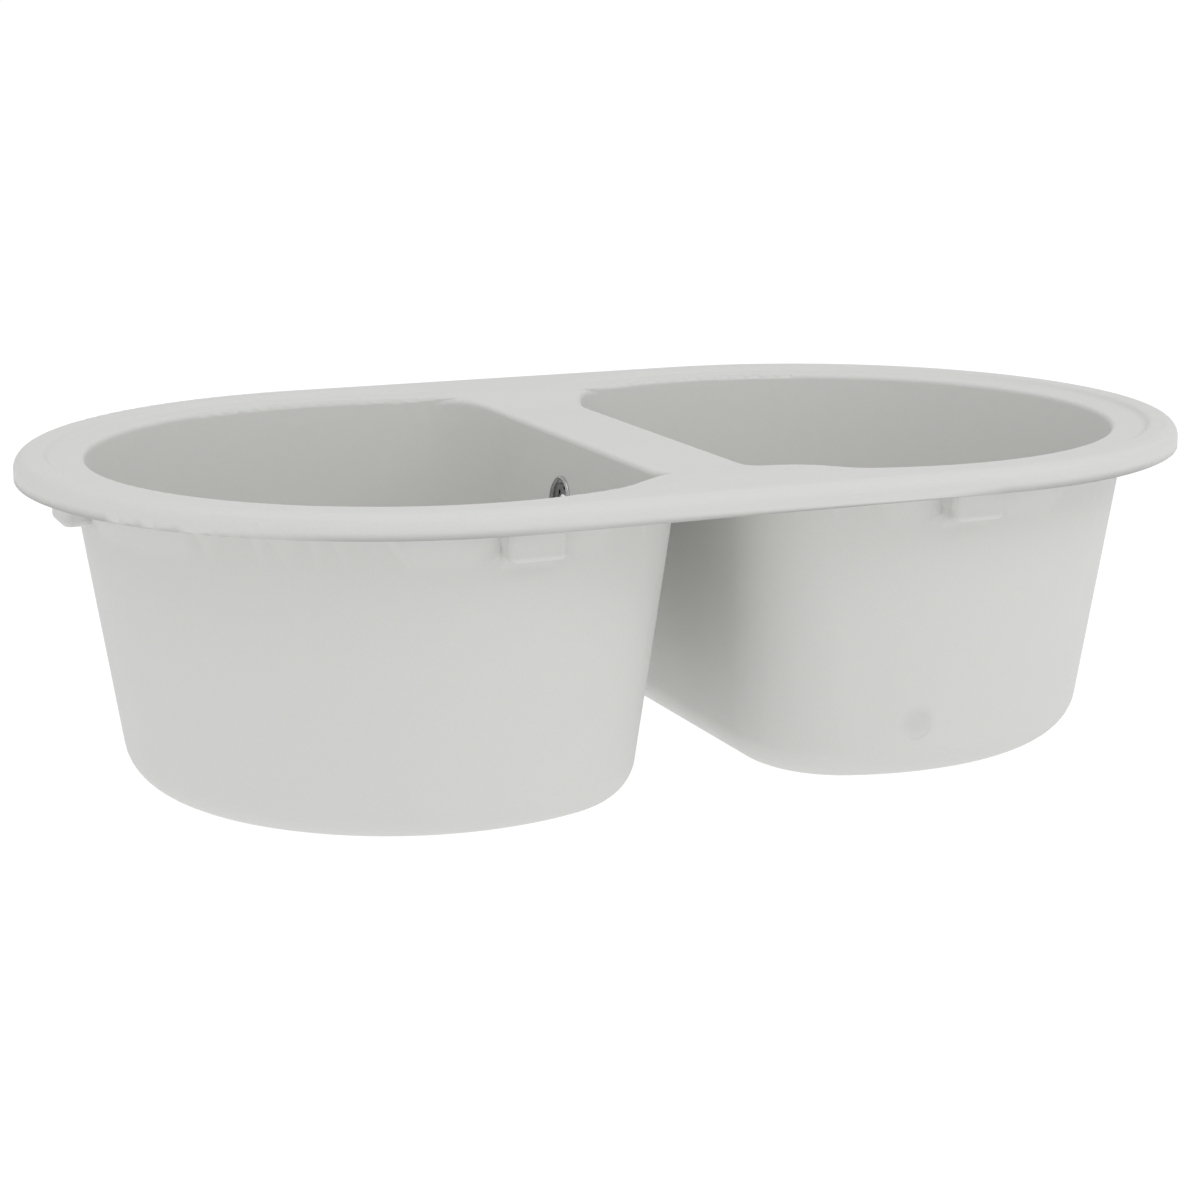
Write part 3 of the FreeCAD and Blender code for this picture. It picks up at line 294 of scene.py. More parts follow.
def noise(tree, point, scale, detail=2.0, roughness=0.5):
    """Noise read at a point."""
    made = node(tree, "TexNoise", Scale=scale, Detail=detail, Roughness=roughness)
    tree.links.new(point, made.inputs["Vector"])
    return made.outputs["Fac"]


def spread(tree, value, low, high, to_low, to_high):
    """A value carried from one range to another, and held at its ends."""
    made = node(tree, "MapRange", clamp=True)
    for name, number in (("From Min", low), ("From Max", high), ("To Min", to_low), ("To Max", to_high)):
        made.inputs[name].default_value = number
    tree.links.new(value, made.inputs["Value"])
    return made.outputs["Result"]


def colour_sockets(sockets):
    """The colour sockets of a Mix node, whose other sockets have the same names."""
    return [socket for socket in sockets if socket.type == "RGBA"]


def blend_colours(tree, factor, first, second):
    """A colour between two others."""
    made = node(tree, "Mix", data_type="RGBA")
    tree.links.new(factor, made.inputs["Factor"])
    for socket, value in zip(colour_sockets(made.inputs), (first, second)):
        socket.default_value = (*value, 1.0)
    return colour_sockets(made.outputs)[0]


def darker(base, share_):
    return tuple(value * share_ for value in base)


def vary_roughness(tree, shader, value, low, high):
    """Roughness that wanders between two ends with a noise."""
    tree.links.new(spread(tree, value, 0.3, 0.7, low, high), shader.inputs["Roughness"])


def relief(tree, shader, height, depth):
    """Bump from a height between 0 and 1."""
    made = node(tree, "Bump", Strength=1.0, Distance=depth)
    tree.links.new(height, made.inputs["Height"])
    tree.links.new(made.outputs["Normal"], shader.inputs["Normal"])


def stone_material(settings):
    """Cast composite: fine granules, painted shade over the mould mark's shallow recess, a faint cloud and a
    matt, slightly pitted skin.
    """
    made, shader = material("cast_composite", settings.stone_roughness)
    tree = made.node_tree
    point = object_point(tree)
    grains = noise(tree, point, 1 / settings.stone_grain, detail=3.0, roughness=0.6)
    flecks = spread(tree, grains, 0.44, 0.70, 0.0, 1.0)
    shade = blend_colours(tree, flecks, settings.stone_colour, settings.stone_fleck)
    reach = node(tree, "VectorMath", operation="LENGTH")
    tree.links.new(object_point(tree, settings.mark_place), reach.inputs[0])
    # Painted shade: the colour is darkened over the mould mark's shallow recess and fades out towards its edge.
    mark = node(tree, "Mix", data_type="RGBA", blend_type="MULTIPLY")
    faded = spread(tree, reach.outputs["Value"], 0.4 * settings.mark_radius, settings.mark_radius, 1.0, 0.0)
    tree.links.new(faded, mark.inputs["Factor"])
    under, over = colour_sockets(mark.inputs)
    tree.links.new(shade, under)
    over.default_value = (*settings.mark_painted_shade, 1.0)
    tree.links.new(colour_sockets(mark.outputs)[0], shader.inputs["Base Color"])
    cloud = noise(tree, point, 28.0, detail=4.0)
    vary_roughness(tree, shader, cloud, settings.stone_roughness - 0.06, settings.stone_roughness + 0.06)
    shader.inputs["Specular IOR Level"].default_value = 0.35
    relief(tree, shader, grains, settings.stone_relief)
    return made


def chrome_material(name, base, roughness):
    """Plating with a trace of unevenness."""
    made, shader = material(name, roughness, 1.0)
    tree = made.node_tree
    point = object_point(tree)
    cloud = spread(tree, noise(tree, point, 140.0, detail=3.0), 0.3, 0.7, 0.0, 1.0)
    tree.links.new(blend_colours(tree, cloud, base, darker(base, 0.93)), shader.inputs["Base Color"])
    tree.links.new(spread(tree, noise(tree, point, 220.0), 0.35, 0.65, roughness - 0.03, roughness + 0.04),
                   shader.inputs["Roughness"])
    relief(tree, shader, noise(tree, point, 90.0), 0.01 * MM)
    return made


def turned_steel_material(settings, name, centre):
    """Pressed steel polished in rings round an upright axis."""
    made, shader = material(name, 0.3, 1.0)
    tree = made.node_tree
    point = object_point(tree, centre)
    parts = node(tree, "SeparateXYZ")
    tree.links.new(point, parts.inputs["Vector"])
    flat = node(tree, "CombineXYZ")
    tree.links.new(parts.outputs["X"], flat.inputs["X"])
    tree.links.new(parts.outputs["Y"], flat.inputs["Y"])
    reach = node(tree, "VectorMath", operation="LENGTH")
    tree.links.new(flat.outputs["Vector"], reach.inputs[0])
    rings = node(tree, "CombineXYZ")
    tree.links.new(reach.outputs["Value"], rings.inputs["X"])
    tree.links.new(parts.outputs["Z"], rings.inputs["Y"])
    lines = noise(tree, rings.outputs["Vector"], 2600.0, detail=3.0)
    patches = noise(tree, point, 60.0, detail=3.0)
    vary_roughness(tree, shader, lines, 0.20, 0.36)
    shade = blend_colours(tree, spread(tree, patches, 0.3, 0.7, 0.0, 1.0), settings.steel_colour,
                          darker(settings.steel_colour, 0.9))
    tree.links.new(shade, shader.inputs["Base Color"])
    relief(tree, shader, lines, 0.012 * MM)
    return made


def brass_material(settings):
    """Turned brass."""
    made, shader = material("turned_brass", 0.32, 1.0)
    tree = made.node_tree
    point = object_point(tree)
    patches = spread(tree, noise(tree, point, 300.0, detail=3.0), 0.3, 0.7, 0.0, 1.0)
    shade = blend_colours(tree, patches, settings.brass_colour, darker(settings.brass_colour, 0.82))
    tree.links.new(shade, shader.inputs["Base Color"])
    lines = noise(tree, object_point(tree, stretch=(1, 1, 12)), 700.0)
    vary_roughness(tree, shader, lines, 0.26, 0.42)
    relief(tree, shader, lines, 0.02 * MM)
    return made


def moulded_material(name, base, roughness, grain, depth):
    """Rubber or plastic with the fine grain of its mould."""
    made, shader = material(name, roughness)
    tree = made.node_tree
    point = object_point(tree)
    skin = noise(tree, point, 1 / grain, detail=2.0)
    cloud = spread(tree, noise(tree, point, 45.0, detail=3.0), 0.3, 0.7, 0.0, 1.0)
    tree.links.new(blend_colours(tree, cloud, base, darker(base, 0.92)), shader.inputs["Base Color"])
    vary_roughness(tree, shader, skin, roughness - 0.07, roughness + 0.07)
    relief(tree, shader, skin, depth)
    return made


# Meshes

def outline(points, rounds=None):
    """A wire profile of radius and height in the XZ plane, with some corners rounded."""
    bm = bmesh.new()
    corners = [bm.verts.new((radius, 0.0, height)) for radius, height in points]
    for first, second in zip(corners, corners[1:] + corners[:1]):
        bm.edges.new((first, second))
    for index, radius in (rounds or {}).items():
        bmesh.ops.bevel(bm, geom=[corners[index]], offset=radius, offset_type="OFFSET", segments=5,
                        profile=0.5, affect="VERTICES", clamp_overlap=True, material=-1)
    return bm


def spun(points, rounds=None, steps=96):
    """A closed profile spun right round the Z axis."""
    bm = outline(points, rounds)
    bmesh.ops.spin(bm, geom=bm.verts[:] + bm.edges[:], cent=(0, 0, 0), axis=(0, 0, 1), dvec=(0, 0, 0),
                   angle=FULL_TURN, steps=steps, use_merge=True, use_normal_flip=False, use_duplicate=False)
    return tidy(bm)


def tidy(bm):
    """Close the seam and the poles, and turn the faces out."""
    bmesh.ops.remove_doubles(bm, verts=bm.verts, dist=MERGE_DISTANCE)
    bmesh.ops.dissolve_degenerate(bm, edges=bm.edges, dist=MERGE_DISTANCE)
    bmesh.ops.recalc_face_normals(bm, faces=bm.faces)
    return bm


def rods(count, radius, length_, reach, height, along="Z", phase=0.0):
    """Plain rods set round the Z axis, upright or pointing outwards."""
    bm = bmesh.new()
    for index in range(count):
        angle = phase + FULL_TURN * index / count
        turn = Matrix.Rotation(angle, 4, "Z")
        lean = Matrix.Rotation(math.pi / 2, 4, "Y") if along == "X" else Matrix.Identity(4)
        place = turn @ Matrix.Translation((reach, 0, height)) @ lean
        bmesh.ops.create_cone(bm, cap_ends=True, cap_tris=False, segments=20, radius1=radius, radius2=radius,
                              depth=length_, matrix=place)
    return bm


def add_block(bm, size, matrix):
    """Add a block of a size."""
    bmesh.ops.create_cube(bm, size=1.0, matrix=matrix @ Matrix.Diagonal((*size, 1.0)))


def mesh_object(name, bm, matrix=Matrix.Identity(4), smooth=40.0):
    """An object at the origin whose mesh is the bmesh moved to its place."""
    bmesh.ops.transform(bm, matrix=matrix, verts=bm.verts)
    mesh = bpy.data.meshes.new(name)
    bm.to_mesh(mesh)
    bm.free()
    made = bpy.data.objects.new(name, mesh)
    bpy.context.scene.collection.objects.link(made)
    mesh.shade_smooth()
    mesh.set_sharp_from_angle(angle=math.radians(smooth))
    return made


def pierced(name, bm, tool, matrix=Matrix.Identity(4), smooth=40.0, join=False):
    """An object with holes cut by a tool of closed forms. Join makes one skin of overlapping shells."""
    made = mesh_object(name, bm, matrix, smooth)
    cutter = mesh_object(name + "_tool", tool, matrix, smooth)
    hole = made.modifiers.new("holes", "BOOLEAN")
    hole.operation = "DIFFERENCE"
    hole.solver = "EXACT"
    hole.use_self = join
    hole.object = cutter
    bpy.context.view_layer.update()
    result = bpy.data.meshes.new_from_object(made.evaluated_get(bpy.context.evaluated_depsgraph_get()))
    made.modifiers.clear()
    made.data = result
    result.name = name
    result.shade_smooth()
    result.set_sharp_from_angle(angle=math.radians(smooth))
    bpy.data.objects.remove(cutter)
    return made


def dress(piece, body, slot, finish, *stands_for):
    """Give a piece its finish, its body and the nodes that it stands for. The slot argument is not used."""
    piece.data.materials.clear()
    piece.data.materials.append(finish)
    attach(piece, body)
    if stands_for:
        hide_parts(*stands_for)


def finish_node(name, finish):
    """Give a CAD node its finish."""
    materials = frame["nodes"][name].data.materials
    materials.clear()
    materials.append(finish)


def finishes():
    return {made.name: made for made in bpy.data.materials}


# Operators

class SINK_OT_finishes(bpy.types.Operator):
    """Make the finishes and put them on every CAD node"""
    bl_idname = "sink.finishes"
    bl_label = "Finishes"

    def execute(self, context):
        settings = context.scene.sink_finish
        stone = stone_material(settings)
        chrome = chrome_material("bright_chrome", settings.chrome_colour, 0.09)
        # Painted shade: a darkened copy of the chrome for the overflow's ring.
        chrome_material("overflow_chrome", settings.ring_painted_shade_colour, 0.16)
        # Painted shade: a still darker copy of the chrome for the overflow's dish.
        chrome_material("overflow_dish_chrome", settings.dish_painted_shade_colour, 0.22)
        steel = {side: turned_steel_material(settings, f"{side}_steel", drain_seat(side))
                 for side in SIDES}
        brass = brass_material(settings)
        rubber = moulded_material("moulded_rubber", settings.rubber_colour, 0.62, 0.5 * MM, 0.03 * MM)
        plastic = moulded_material("moulded_plastic", settings.plastic_colour, 0.42, 0.6 * MM, 0.02 * MM)
        for entry in frame["record"]["subparts"]:
            name, slot = entry["node"], entry["material_slot"]
            side = "right" if name.startswith("right") else "left"
            by_slot = {"composite": stone, "steel": steel[side], "chrome": chrome, "rubber": rubber,
                       "brass": brass, "plastic": plastic}
            finish_node(name, by_slot[slot])
        return {"FINISHED"}


class SINK_OT_moulding(bpy.types.Operator):
    """Build the moulding's skin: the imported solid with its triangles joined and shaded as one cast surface"""
    bl_idname = "sink.moulding"
    bl_label = "Moulding"

    def cut_top(self, bm, settings):
        """Cut the large faces at the top along a grid, so that they can bend."""
        level = CAD_BOX[1].z - settings.divider_drop - settings.slope_depth
        planes = []
        for index in range(-settings.cuts, settings.cuts + 1):
            planes.append(((settings.fade_end * index / settings.cuts, 0, 0), (1, 0, 0)))
        for index in range(settings.cuts + 1):
            reach = settings.slope_start + (settings.slope_end - settings.slope_start) * index / settings.cuts
            planes += [((0, reach, 0), (0, 1, 0)), ((0, -reach, 0), (0, 1, 0))]
        for point, normal in planes:
            faces = [face for face in bm.faces if max(vert.co.z for vert in face.verts) > level]
            edges = dict.fromkeys(edge for face in faces for edge in face.edges)
            verts = dict.fromkeys(vert for face in faces for vert in face.verts)
            bmesh.ops.bisect_plane(bm, geom=[*faces, *edges, *verts], dist=MERGE_DISTANCE,
                                   plane_co=point, plane_no=normal)

    def run_up(self, bm, settings):
        """Bend the divider's ends up to the band in one slope, in which the steps round the bowls die out."""
        top = CAD_BOX[1].z
        low = top - settings.divider_drop
        middle = node_centre("right_dish_seal").x
        for vert in bm.verts:
            x, y, z = vert.co
            off_divider = abs(x) > settings.divider_half
            inside = off_divider and math.hypot(abs(x) - middle, y) < settings.opening_reach
            if abs(y) > settings.band_reach or (z < low - LEVEL_TOLERANCE and not inside):
                continue
            target = low + (top - low) * ease(abs(y), settings.slope_start, settings.slope_end)
            amount = 1.0 - ease(abs(x), settings.fade_start, settings.fade_end)
            depth = min(1.0, max(0.0, 1.0 - (low - z) / settings.slope_depth))
            vert.co.z += amount * depth * (target - max(z, low))

    def execute(self, context):
        settings = context.scene.sink_moulding
        bm = bmesh.new()
        bm.from_mesh(frame["nodes"]["sink_body"].data)
        tidy(bm)
        self.cut_top(bm, settings)
        self.run_up(bm, settings)
        bmesh.ops.triangulate(bm, faces=bm.faces)
        moulding = mesh_object("moulding", bm, smooth=math.degrees(settings.crease))
        if "custom_normal" in moulding.data.attributes:
            moulding.data.attributes.remove(moulding.data.attributes["custom_normal"])
        flats = moulding.modifiers.new("large faces lead", "WEIGHTED_NORMAL")
        flats.mode = "FACE_AREA_WITH_ANGLE"
        flats.keep_sharp = True
        dress(moulding, SINK, "composite", finishes()["cast_composite"], "sink_body")
        return {"FINISHED"}


def ease(value, start, end):
    """0 before the start, 1 after the end, and a smooth rise between."""
    share_ = min(1.0, max(0.0, (value - start) / (end - start)))
    return share_ * share_ * (3.0 - 2.0 * share_)


class SINK_OT_baskets(bpy.types.Operator):
    """Build the lift-out baskets with their stoppers and knobs"""
    bl_idname = "sink.baskets"
    bl_label = "Baskets"

    def basket(self, side, settings):
        seat = drain_seat(side)
        low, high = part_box(f"{side}_strainer_basket")
        floor, top = low.z - seat.z, high.z - seat.z
        sheet, bead = settings.sheet, settings.bead_height
        stem = settings.stem_radius + STEM_CLEARANCE
        side_in = settings.top_radius - sheet
        floor_in = settings.floor_radius - sheet
        roll = settings.rim_radius
        ring_in, ring_out, ramp = 12.5 * MM, 19.5 * MM, 1.5 * MM
        points = [
            (stem, floor), (ring_in, floor), (ring_in + ramp, floor + bead), (ring_out, floor + bead),
            (ring_out + ramp, floor), (settings.floor_radius, floor), (settings.top_radius, top - sheet),
            (roll - sheet, top - sheet), (roll - sheet, top - settings.rim_roll),
            (roll, top - settings.rim_roll), (roll, top), (side_in, top), (floor_in, floor + sheet),
            (ring_out + ramp, floor + sheet), (ring_out, floor + sheet + bead),
            (ring_in + ramp, floor + sheet + bead), (ring_in, floor + sheet), (stem, floor + sheet)]
        rounds = {5: 2.5 * MM, 12: 1.5 * MM, 6: 0.6 * MM, 11: 1.6 * MM, 10: 0.9 * MM}
        shell = spun(points, rounds, steps=120)
        tool = rods(settings.floor_holes, settings.floor_hole, 6 * MM, 26.6 * MM, floor + sheet / 2)
        for level, phase in ((0.30, 0.0), (0.62, 0.5)):
            height = floor + (top - floor) * level
            row = rods(settings.side_holes, settings.side_hole, 16 * MM, 34 * MM, height, along="X",
                       phase=phase * FULL_TURN / settings.side_holes)
            add_mesh(tool, row)
        return pierced(f"{side}_basket_shell", shell, tool, Matrix.Translation(seat))

    def stopper(self, side, settings):
        seat = drain_seat(side)
        low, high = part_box(f"{side}_basket_plug")
        bottom, top = low.z - seat.z, high.z - seat.z
        radius, stem = settings.plug_radius, settings.stem_radius + STEM_CLEARANCE
        groove = bottom + 0.45 * (top - bottom)
        groove_in = radius - 0.9 * MM
        hollow, web = 13.0 * MM, 1.0 * MM
        points = [
            (stem, top - web), (hollow, top - web), (hollow, bottom), (radius, bottom),
            (radius, groove - 0.4 * MM), (groove_in, groove), (groove_in, groove + 0.4 * MM),
            (radius, groove + 0.8 * MM), (radius - 0.3 * MM, top), (stem, top)]
        bm = spun(points, {3: 0.8 * MM, 8: 0.8 * MM, 2: 0.6 * MM}, steps=96)
        return mesh_object(f"{side}_stopper", bm, Matrix.Translation(seat))

    def knob(self, side, settings):
        seat = drain_seat(side)
        low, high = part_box(f"{side}_basket_knob")
        bottom, top = low.z - seat.z, high.z - seat.z
        stem, radius = settings.stem_radius, settings.knob_radius
        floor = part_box(f"{side}_strainer_basket")[0].z - seat.z + settings.sheet
        grip = top - 6.0 * MM
        rivet, rivet_top, collar = 5.0 * MM, bottom + 1.4 * MM, 6.0 * MM
        groove_in, hollow = radius - 0.7 * MM, top - 0.7 * MM
        points = [
            (0.0, bottom), (rivet, bottom), (rivet, rivet_top), (stem, rivet_top),
            (stem, floor), (collar, floor), (collar, floor + 1.5 * MM), (stem, floor + 2.3 * MM),
            (stem, grip - 1.6 * MM), (radius - 3.0 * MM, grip), (radius, grip + 1.0 * MM),
            (radius, grip + 2.4 * MM), (groove_in, grip + 2.9 * MM), (groove_in, grip + 3.3 * MM),
            (radius, grip + 3.8 * MM), (radius, top), (radius - 3.2 * MM, top),
            (radius - 4.0 * MM, hollow), (0.0, hollow)]
        rounds = {1: 0.7 * MM, 6: 0.5 * MM, 9: 1.2 * MM, 10: 0.5 * MM, 15: 1.6 * MM, 16: 0.5 * MM,
                  17: 0.6 * MM, 7: 1.0 * MM, 8: 1.2 * MM}
        bm = spun(points, rounds, steps=72)
        return mesh_object(f"{side}_knob", bm, Matrix.Translation(seat))

    def execute(self, context):
        settings = context.scene.sink_basket
        made = finishes()
        for side in SIDES:
            body, steel = f"{side}_basket", made[f"{side}_steel"]
            dress(self.basket(side, settings), body, "steel", steel, f"{side}_strainer_basket")
            dress(self.stopper(side, settings), body, "rubber", made["moulded_rubber"], f"{side}_basket_plug")
            dress(self.knob(side, settings), body, "chrome", made["bright_chrome"], f"{side}_basket_knob")
        return {"FINISHED"}


def add_mesh(target, extra):
    """Move one bmesh's geometry into another."""
    mesh = bpy.data.meshes.new("passing")
    extra.to_mesh(mesh)
    extra.free()
    target.from_mesh(mesh)
    bpy.data.meshes.remove(mesh)


class SINK_OT_dishes(bpy.types.Operator):
    """Build the strainer dishes in the bowl floors"""
    bl_idname = "sink.dishes"
    bl_label = "Strainer dishes"

    def execute(self, context):
        settings = context.scene.sink_dish
        made = finishes()
        for side in SIDES:
            seat = drain_seat(side)
            low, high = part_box(f"{side}_strainer_dish")
            top, bottom = high.z - seat.z, low.z - seat.z
            sheet = settings.sheet
            floor = bottom + 3.0 * MM
            inside, step_top = floor + sheet, floor + sheet + 0.5 * MM
            cup, cup_in, bead = settings.cup_radius, settings.cup_radius - sheet, settings.bead_radius
            flange, dimple, hole = settings.flange_radius, settings.dimple_radius, 3.3 * MM
            points = [
                (hole, bottom), (dimple, bottom), (dimple, floor), (cup, floor), (cup, top - sheet),
                (flange, top - sheet), (flange, top - 0.5 * sheet), (flange - 1.6 * MM, top),
                (bead + 2.4 * MM, top), (bead + 1.2 * MM, top - 0.5 * MM),
                (bead - 1.2 * MM, top - 0.5 * MM), (bead - 2.4 * MM, top), (cup_in, top),
                (cup_in, inside), (30.0 * MM, inside), (29.0 * MM, step_top), (24.5 * MM, step_top),
                (23.5 * MM, inside), (dimple - sheet, inside), (dimple - sheet, bottom + sheet),
                (hole, bottom + sheet)]
            rounds = {12: 2.5 * MM, 4: 1.3 * MM, 13: 4.0 * MM, 3: 5.2 * MM, 18: 1.2 * MM, 2: 0.6 * MM,
                      1: 1.4 * MM}
            shell = spun(points, rounds, steps=144)
            tool = rods(settings.grid_holes, settings.grid_hole, 8 * MM, settings.grid_radius, floor)
            dish = pierced(f"{side}_dish", shell, tool, Matrix.Translation(seat))
            dress(dish, SINK, "steel", made[f"{side}_steel"], f"{side}_strainer_dish")
        return {"FINISHED"}


def spigot(settings, root, tip):
    """A hose spigot along Z from its root to its tip, with a stop collar and barbs cut into its outside."""
    radius, collar = settings.hose_radius, settings.hose_collar
    low = radius - settings.barb_height
    stop = tip - settings.spigot_length
    collar_back = stop - 2.0 * MM
    points = [(0.0, root), (radius, root), (radius, collar_back), (collar, collar_back), (collar, stop),
              (low, stop)]
    for index in range(settings.barbs, 0, -1):
        start = tip - index * settings.barb_length
        points += [(low, start), (radius, start + 0.3 * MM)]
    points += [(low, tip), (0.0, tip)]
    return spun(points, {3: 0.4 * MM, 4: 0.4 * MM}, steps=48)


def gussets(count, thickness, inner, outer, top, bottom, phase):
    """Three-cornered gussets set round the Z axis below a flange."""
    bm = bmesh.new()
    side = -thickness / 2
    for index in range(count):
        turn = Matrix.Rotation(phase + FULL_TURN * index / count, 4, "Z")
        corners = ((inner, side, top), (outer, side, top), (outer, side, top - 0.8 * MM),
                   (inner, side, bottom))
        face = bm.faces.new([bm.verts.new(turn @ Vector(corner)) for corner in corners])
        grown = bmesh.ops.extrude_face_region(bm, geom=[face], use_keep_orig=True)["geom"]
        bmesh.ops.translate(bm, verts=[part for part in grown if isinstance(part, bmesh.types.BMVert)],
                            vec=turn @ Vector((0.0, thickness, 0.0)))
    bmesh.ops.recalc_face_normals(bm, faces=bm.faces)
    return bm


def thread(radius, height, pitch, low, high, steps=64):
    """A screw thread round the Z axis, from low to high, whose crest reaches a radius."""
    turns = (high - low - 0.8 * pitch) / pitch
    base = low + 0.4 * pitch
    root = radius - height
    profile = ((root - 0.3 * MM, -0.36), (root, -0.36), (radius, -0.10), (radius, 0.10), (root, 0.36),
               (root - 0.3 * MM, 0.36))
    bm = bmesh.new()
    face = bm.faces.new([bm.verts.new((reach, 0.0, base + share_ * pitch)) for reach, share_ in profile])
    count = round(turns * steps)
    bmesh.ops.spin(bm, geom=[face, *face.edges, *face.verts], cent=(0, 0, 0), axis=(0, 0, 1),
                   dvec=(0, 0, turns * pitch / count), angle=FULL_TURN * turns, steps=count)
    bmesh.ops.recalc_face_normals(bm, faces=bm.faces)
    return bm


def lying(bm, turn):
    """Turn a bmesh made along Z."""
    bmesh.ops.transform(bm, matrix=turn, verts=bm.verts)
    return bm


class SINK_OT_fittings(bpy.types.Operator):
    """Build the waste housings with their threads and gussets, the inlet's cap, the elbow and the inserts"""
    bl_idname = "sink.fittings"
    bl_label = "Fittings"

    def housing(self, side, settings):
        seat = drain_seat(side)
        low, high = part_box(f"{side}_waste_housing")
        top, bottom, reach = high.z - seat.z, low.z - seat.z, high.y - seat.y
        outlet, bore, body, wall = 23.9 * MM, 20.0 * MM, 49.0 * MM, 3.0 * MM
        skirt = top - 16.0 * MM
        funnel = skirt - 8.0 * MM
        flange = 54.0 * MM
        root = outlet - settings.thread_height
        points = [
            (flange, top), (flange, top - wall), (body, top - wall), (body, skirt), (outlet, funnel),
            (outlet, funnel - 1.5 * MM), (root, funnel - 2.2 * MM), (root, bottom + 0.6 * MM),
            (root - 0.6 * MM, bottom), (bore, bottom), (bore, funnel + wall), (body - wall, skirt + wall),
            (body - wall, top)]
        rounds = {0: 0.5 * MM, 1: 0.8 * MM, 3: 4.0 * MM, 4: 2.0 * MM, 10: 2.0 * MM, 11: 2.0 * MM}
        base = spun(points, rounds, steps=96)
        add_mesh(base, gussets(settings.gussets, settings.gusset_thickness, body - 0.5 * MM,
                               flange - 0.8 * MM, top - wall + 0.2 * MM, top - 12.0 * MM,
                               math.pi / settings.gussets))
        hub_top, ribs_top = bottom + 22.0 * MM, bottom + 14.5 * MM
        hub_low = bottom + 6.0 * MM
        add_mesh(base, spun([(0.0, hub_low), (8.0 * MM, hub_low), (8.0 * MM, hub_top), (0.0, hub_top)],
                            {1: 0.8 * MM, 2: 0.8 * MM}, steps=48))
        for turn in (0.0, math.pi / 2):
            rib = bmesh.new()
            span = bore + 0.9 * MM
            add_block(rib, (2 * span, 2.0 * MM, ribs_top - hub_low),
                      Matrix.Rotation(turn, 4, "Z") @ Matrix.Translation((0, 0, (ribs_top + hub_low) / 2)))
            add_mesh(base, rib)
        level = top - 11.5 * MM
        lie = Matrix.Translation((0, 0, level)) @ Matrix.Rotation(-math.pi / 2, 4, "X")
        add_mesh(base, lying(spigot(settings, 47.0 * MM, reach), lie))
        tool = rods(1, settings.hose_bore, 40.0 * MM, 0.0, 60.0 * MM)
        lying(tool, lie)
        add_mesh(tool, rods(1, 5.5 * MM, 11.0 * MM, 0.0, hub_low + 4.5 * MM))
        add_mesh(tool, rods(1, 3.3 * MM, 8.0 * MM, 0.0, hub_top - 3.0 * MM))
        place = Matrix.Translation(seat)
        made = pierced(f"{side}_housing", base, tool, place, FITTING_CREASE, join=True)
        turns = thread(outlet, settings.thread_height, settings.thread_pitch, bottom + 0.6 * MM,
                       funnel - 1.6 * MM)
        return made, mesh_object(f"{side}_outlet_thread", turns, place, FITTING_CREASE)

    def cap(self, settings):
        low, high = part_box("right_inlet_cap")
        centre = (low + high) / 2
        length_ = high.y - low.y
        inner, outer, wall = 8.05 * MM, 10.05 * MM, 2.0 * MM
        skin = outer - 0.5 * MM
        points = [(inner, 0.0), (outer, 0.0), (outer, 1.6 * MM), (skin, 2.2 * MM), (skin, length_),
                  (0.0, length_), (0.0, length_ - wall), (inner, length_ - wall)]
        bm = spun(points, {1: 0.3 * MM, 2: 0.3 * MM, 4: 1.2 * MM}, steps=72)
        for index in range(settings.grip_ribs):
            rib = bmesh.new()
            add_block(rib, (0.8 * MM, 1.2 * MM, length_ - 3.4 * MM),
                      Matrix.Translation((skin, 0, length_ / 2)))
            bmesh.ops.bevel(rib, geom=rib.edges[:], offset=0.3 * MM, segments=2, profile=0.5, affect="EDGES",
                            material=-1)
            add_mesh(bm, lying(rib, Matrix.Rotation(FULL_TURN * index / settings.grip_ribs, 4, "Z")))
        lie = Matrix.Translation((centre.x, low.y, centre.z)) @ Matrix.Rotation(-math.pi / 2, 4, "X")
        return mesh_object("right_cap", bm, lie, FITTING_CREASE)

    def elbow(self, settings):
        face, base, flange, body, wall = -12.0 * MM, -34.0 * MM, 21.0 * MM, 16.0 * MM, 2.0 * MM
        post, pilot = 4.5 * MM, 2.05 * MM
        flange_back, post_top, pilot_end = face - 3.0 * MM, face - 2.0 * MM, face - 13.0 * MM
        points = [
            (0.0, base), (body, base), (body, flange_back), (flange, flange_back), (flange, face),
            (body - wall, face), (body - wall, base + wall), (post, base + wall), (post, post_top),
            (pilot, post_top), (pilot, pilot_end), (0.0, pilot_end)]
        rounds = {1: 3.0 * MM, 2: 0.8 * MM, 3: 0.8 * MM, 4: 0.5 * MM, 6: 1.6 * MM, 7: 0.8 * MM}
        form = spun(points, rounds, steps=96)
        add_mesh(form, gussets(4, settings.gusset_thickness, body - 0.5 * MM, flange - 0.8 * MM,
                               face - 2.8 * MM, pilot_end, math.pi / 4))
        level = base + 9.5 * MM
        lie = Matrix.Translation((0, 0, level)) @ Matrix.Rotation(-math.pi / 2, 4, "Y")
        add_mesh(form, lying(spigot(settings, 13.8 * MM, 42.0 * MM), lie))
        tool = lying(rods(1, settings.hose_bore, 34.0 * MM, 0.0, 26.0 * MM), lie)
        return pierced("overflow_elbow_body", form, tool, overflow_place(), FITTING_CREASE, join=True)

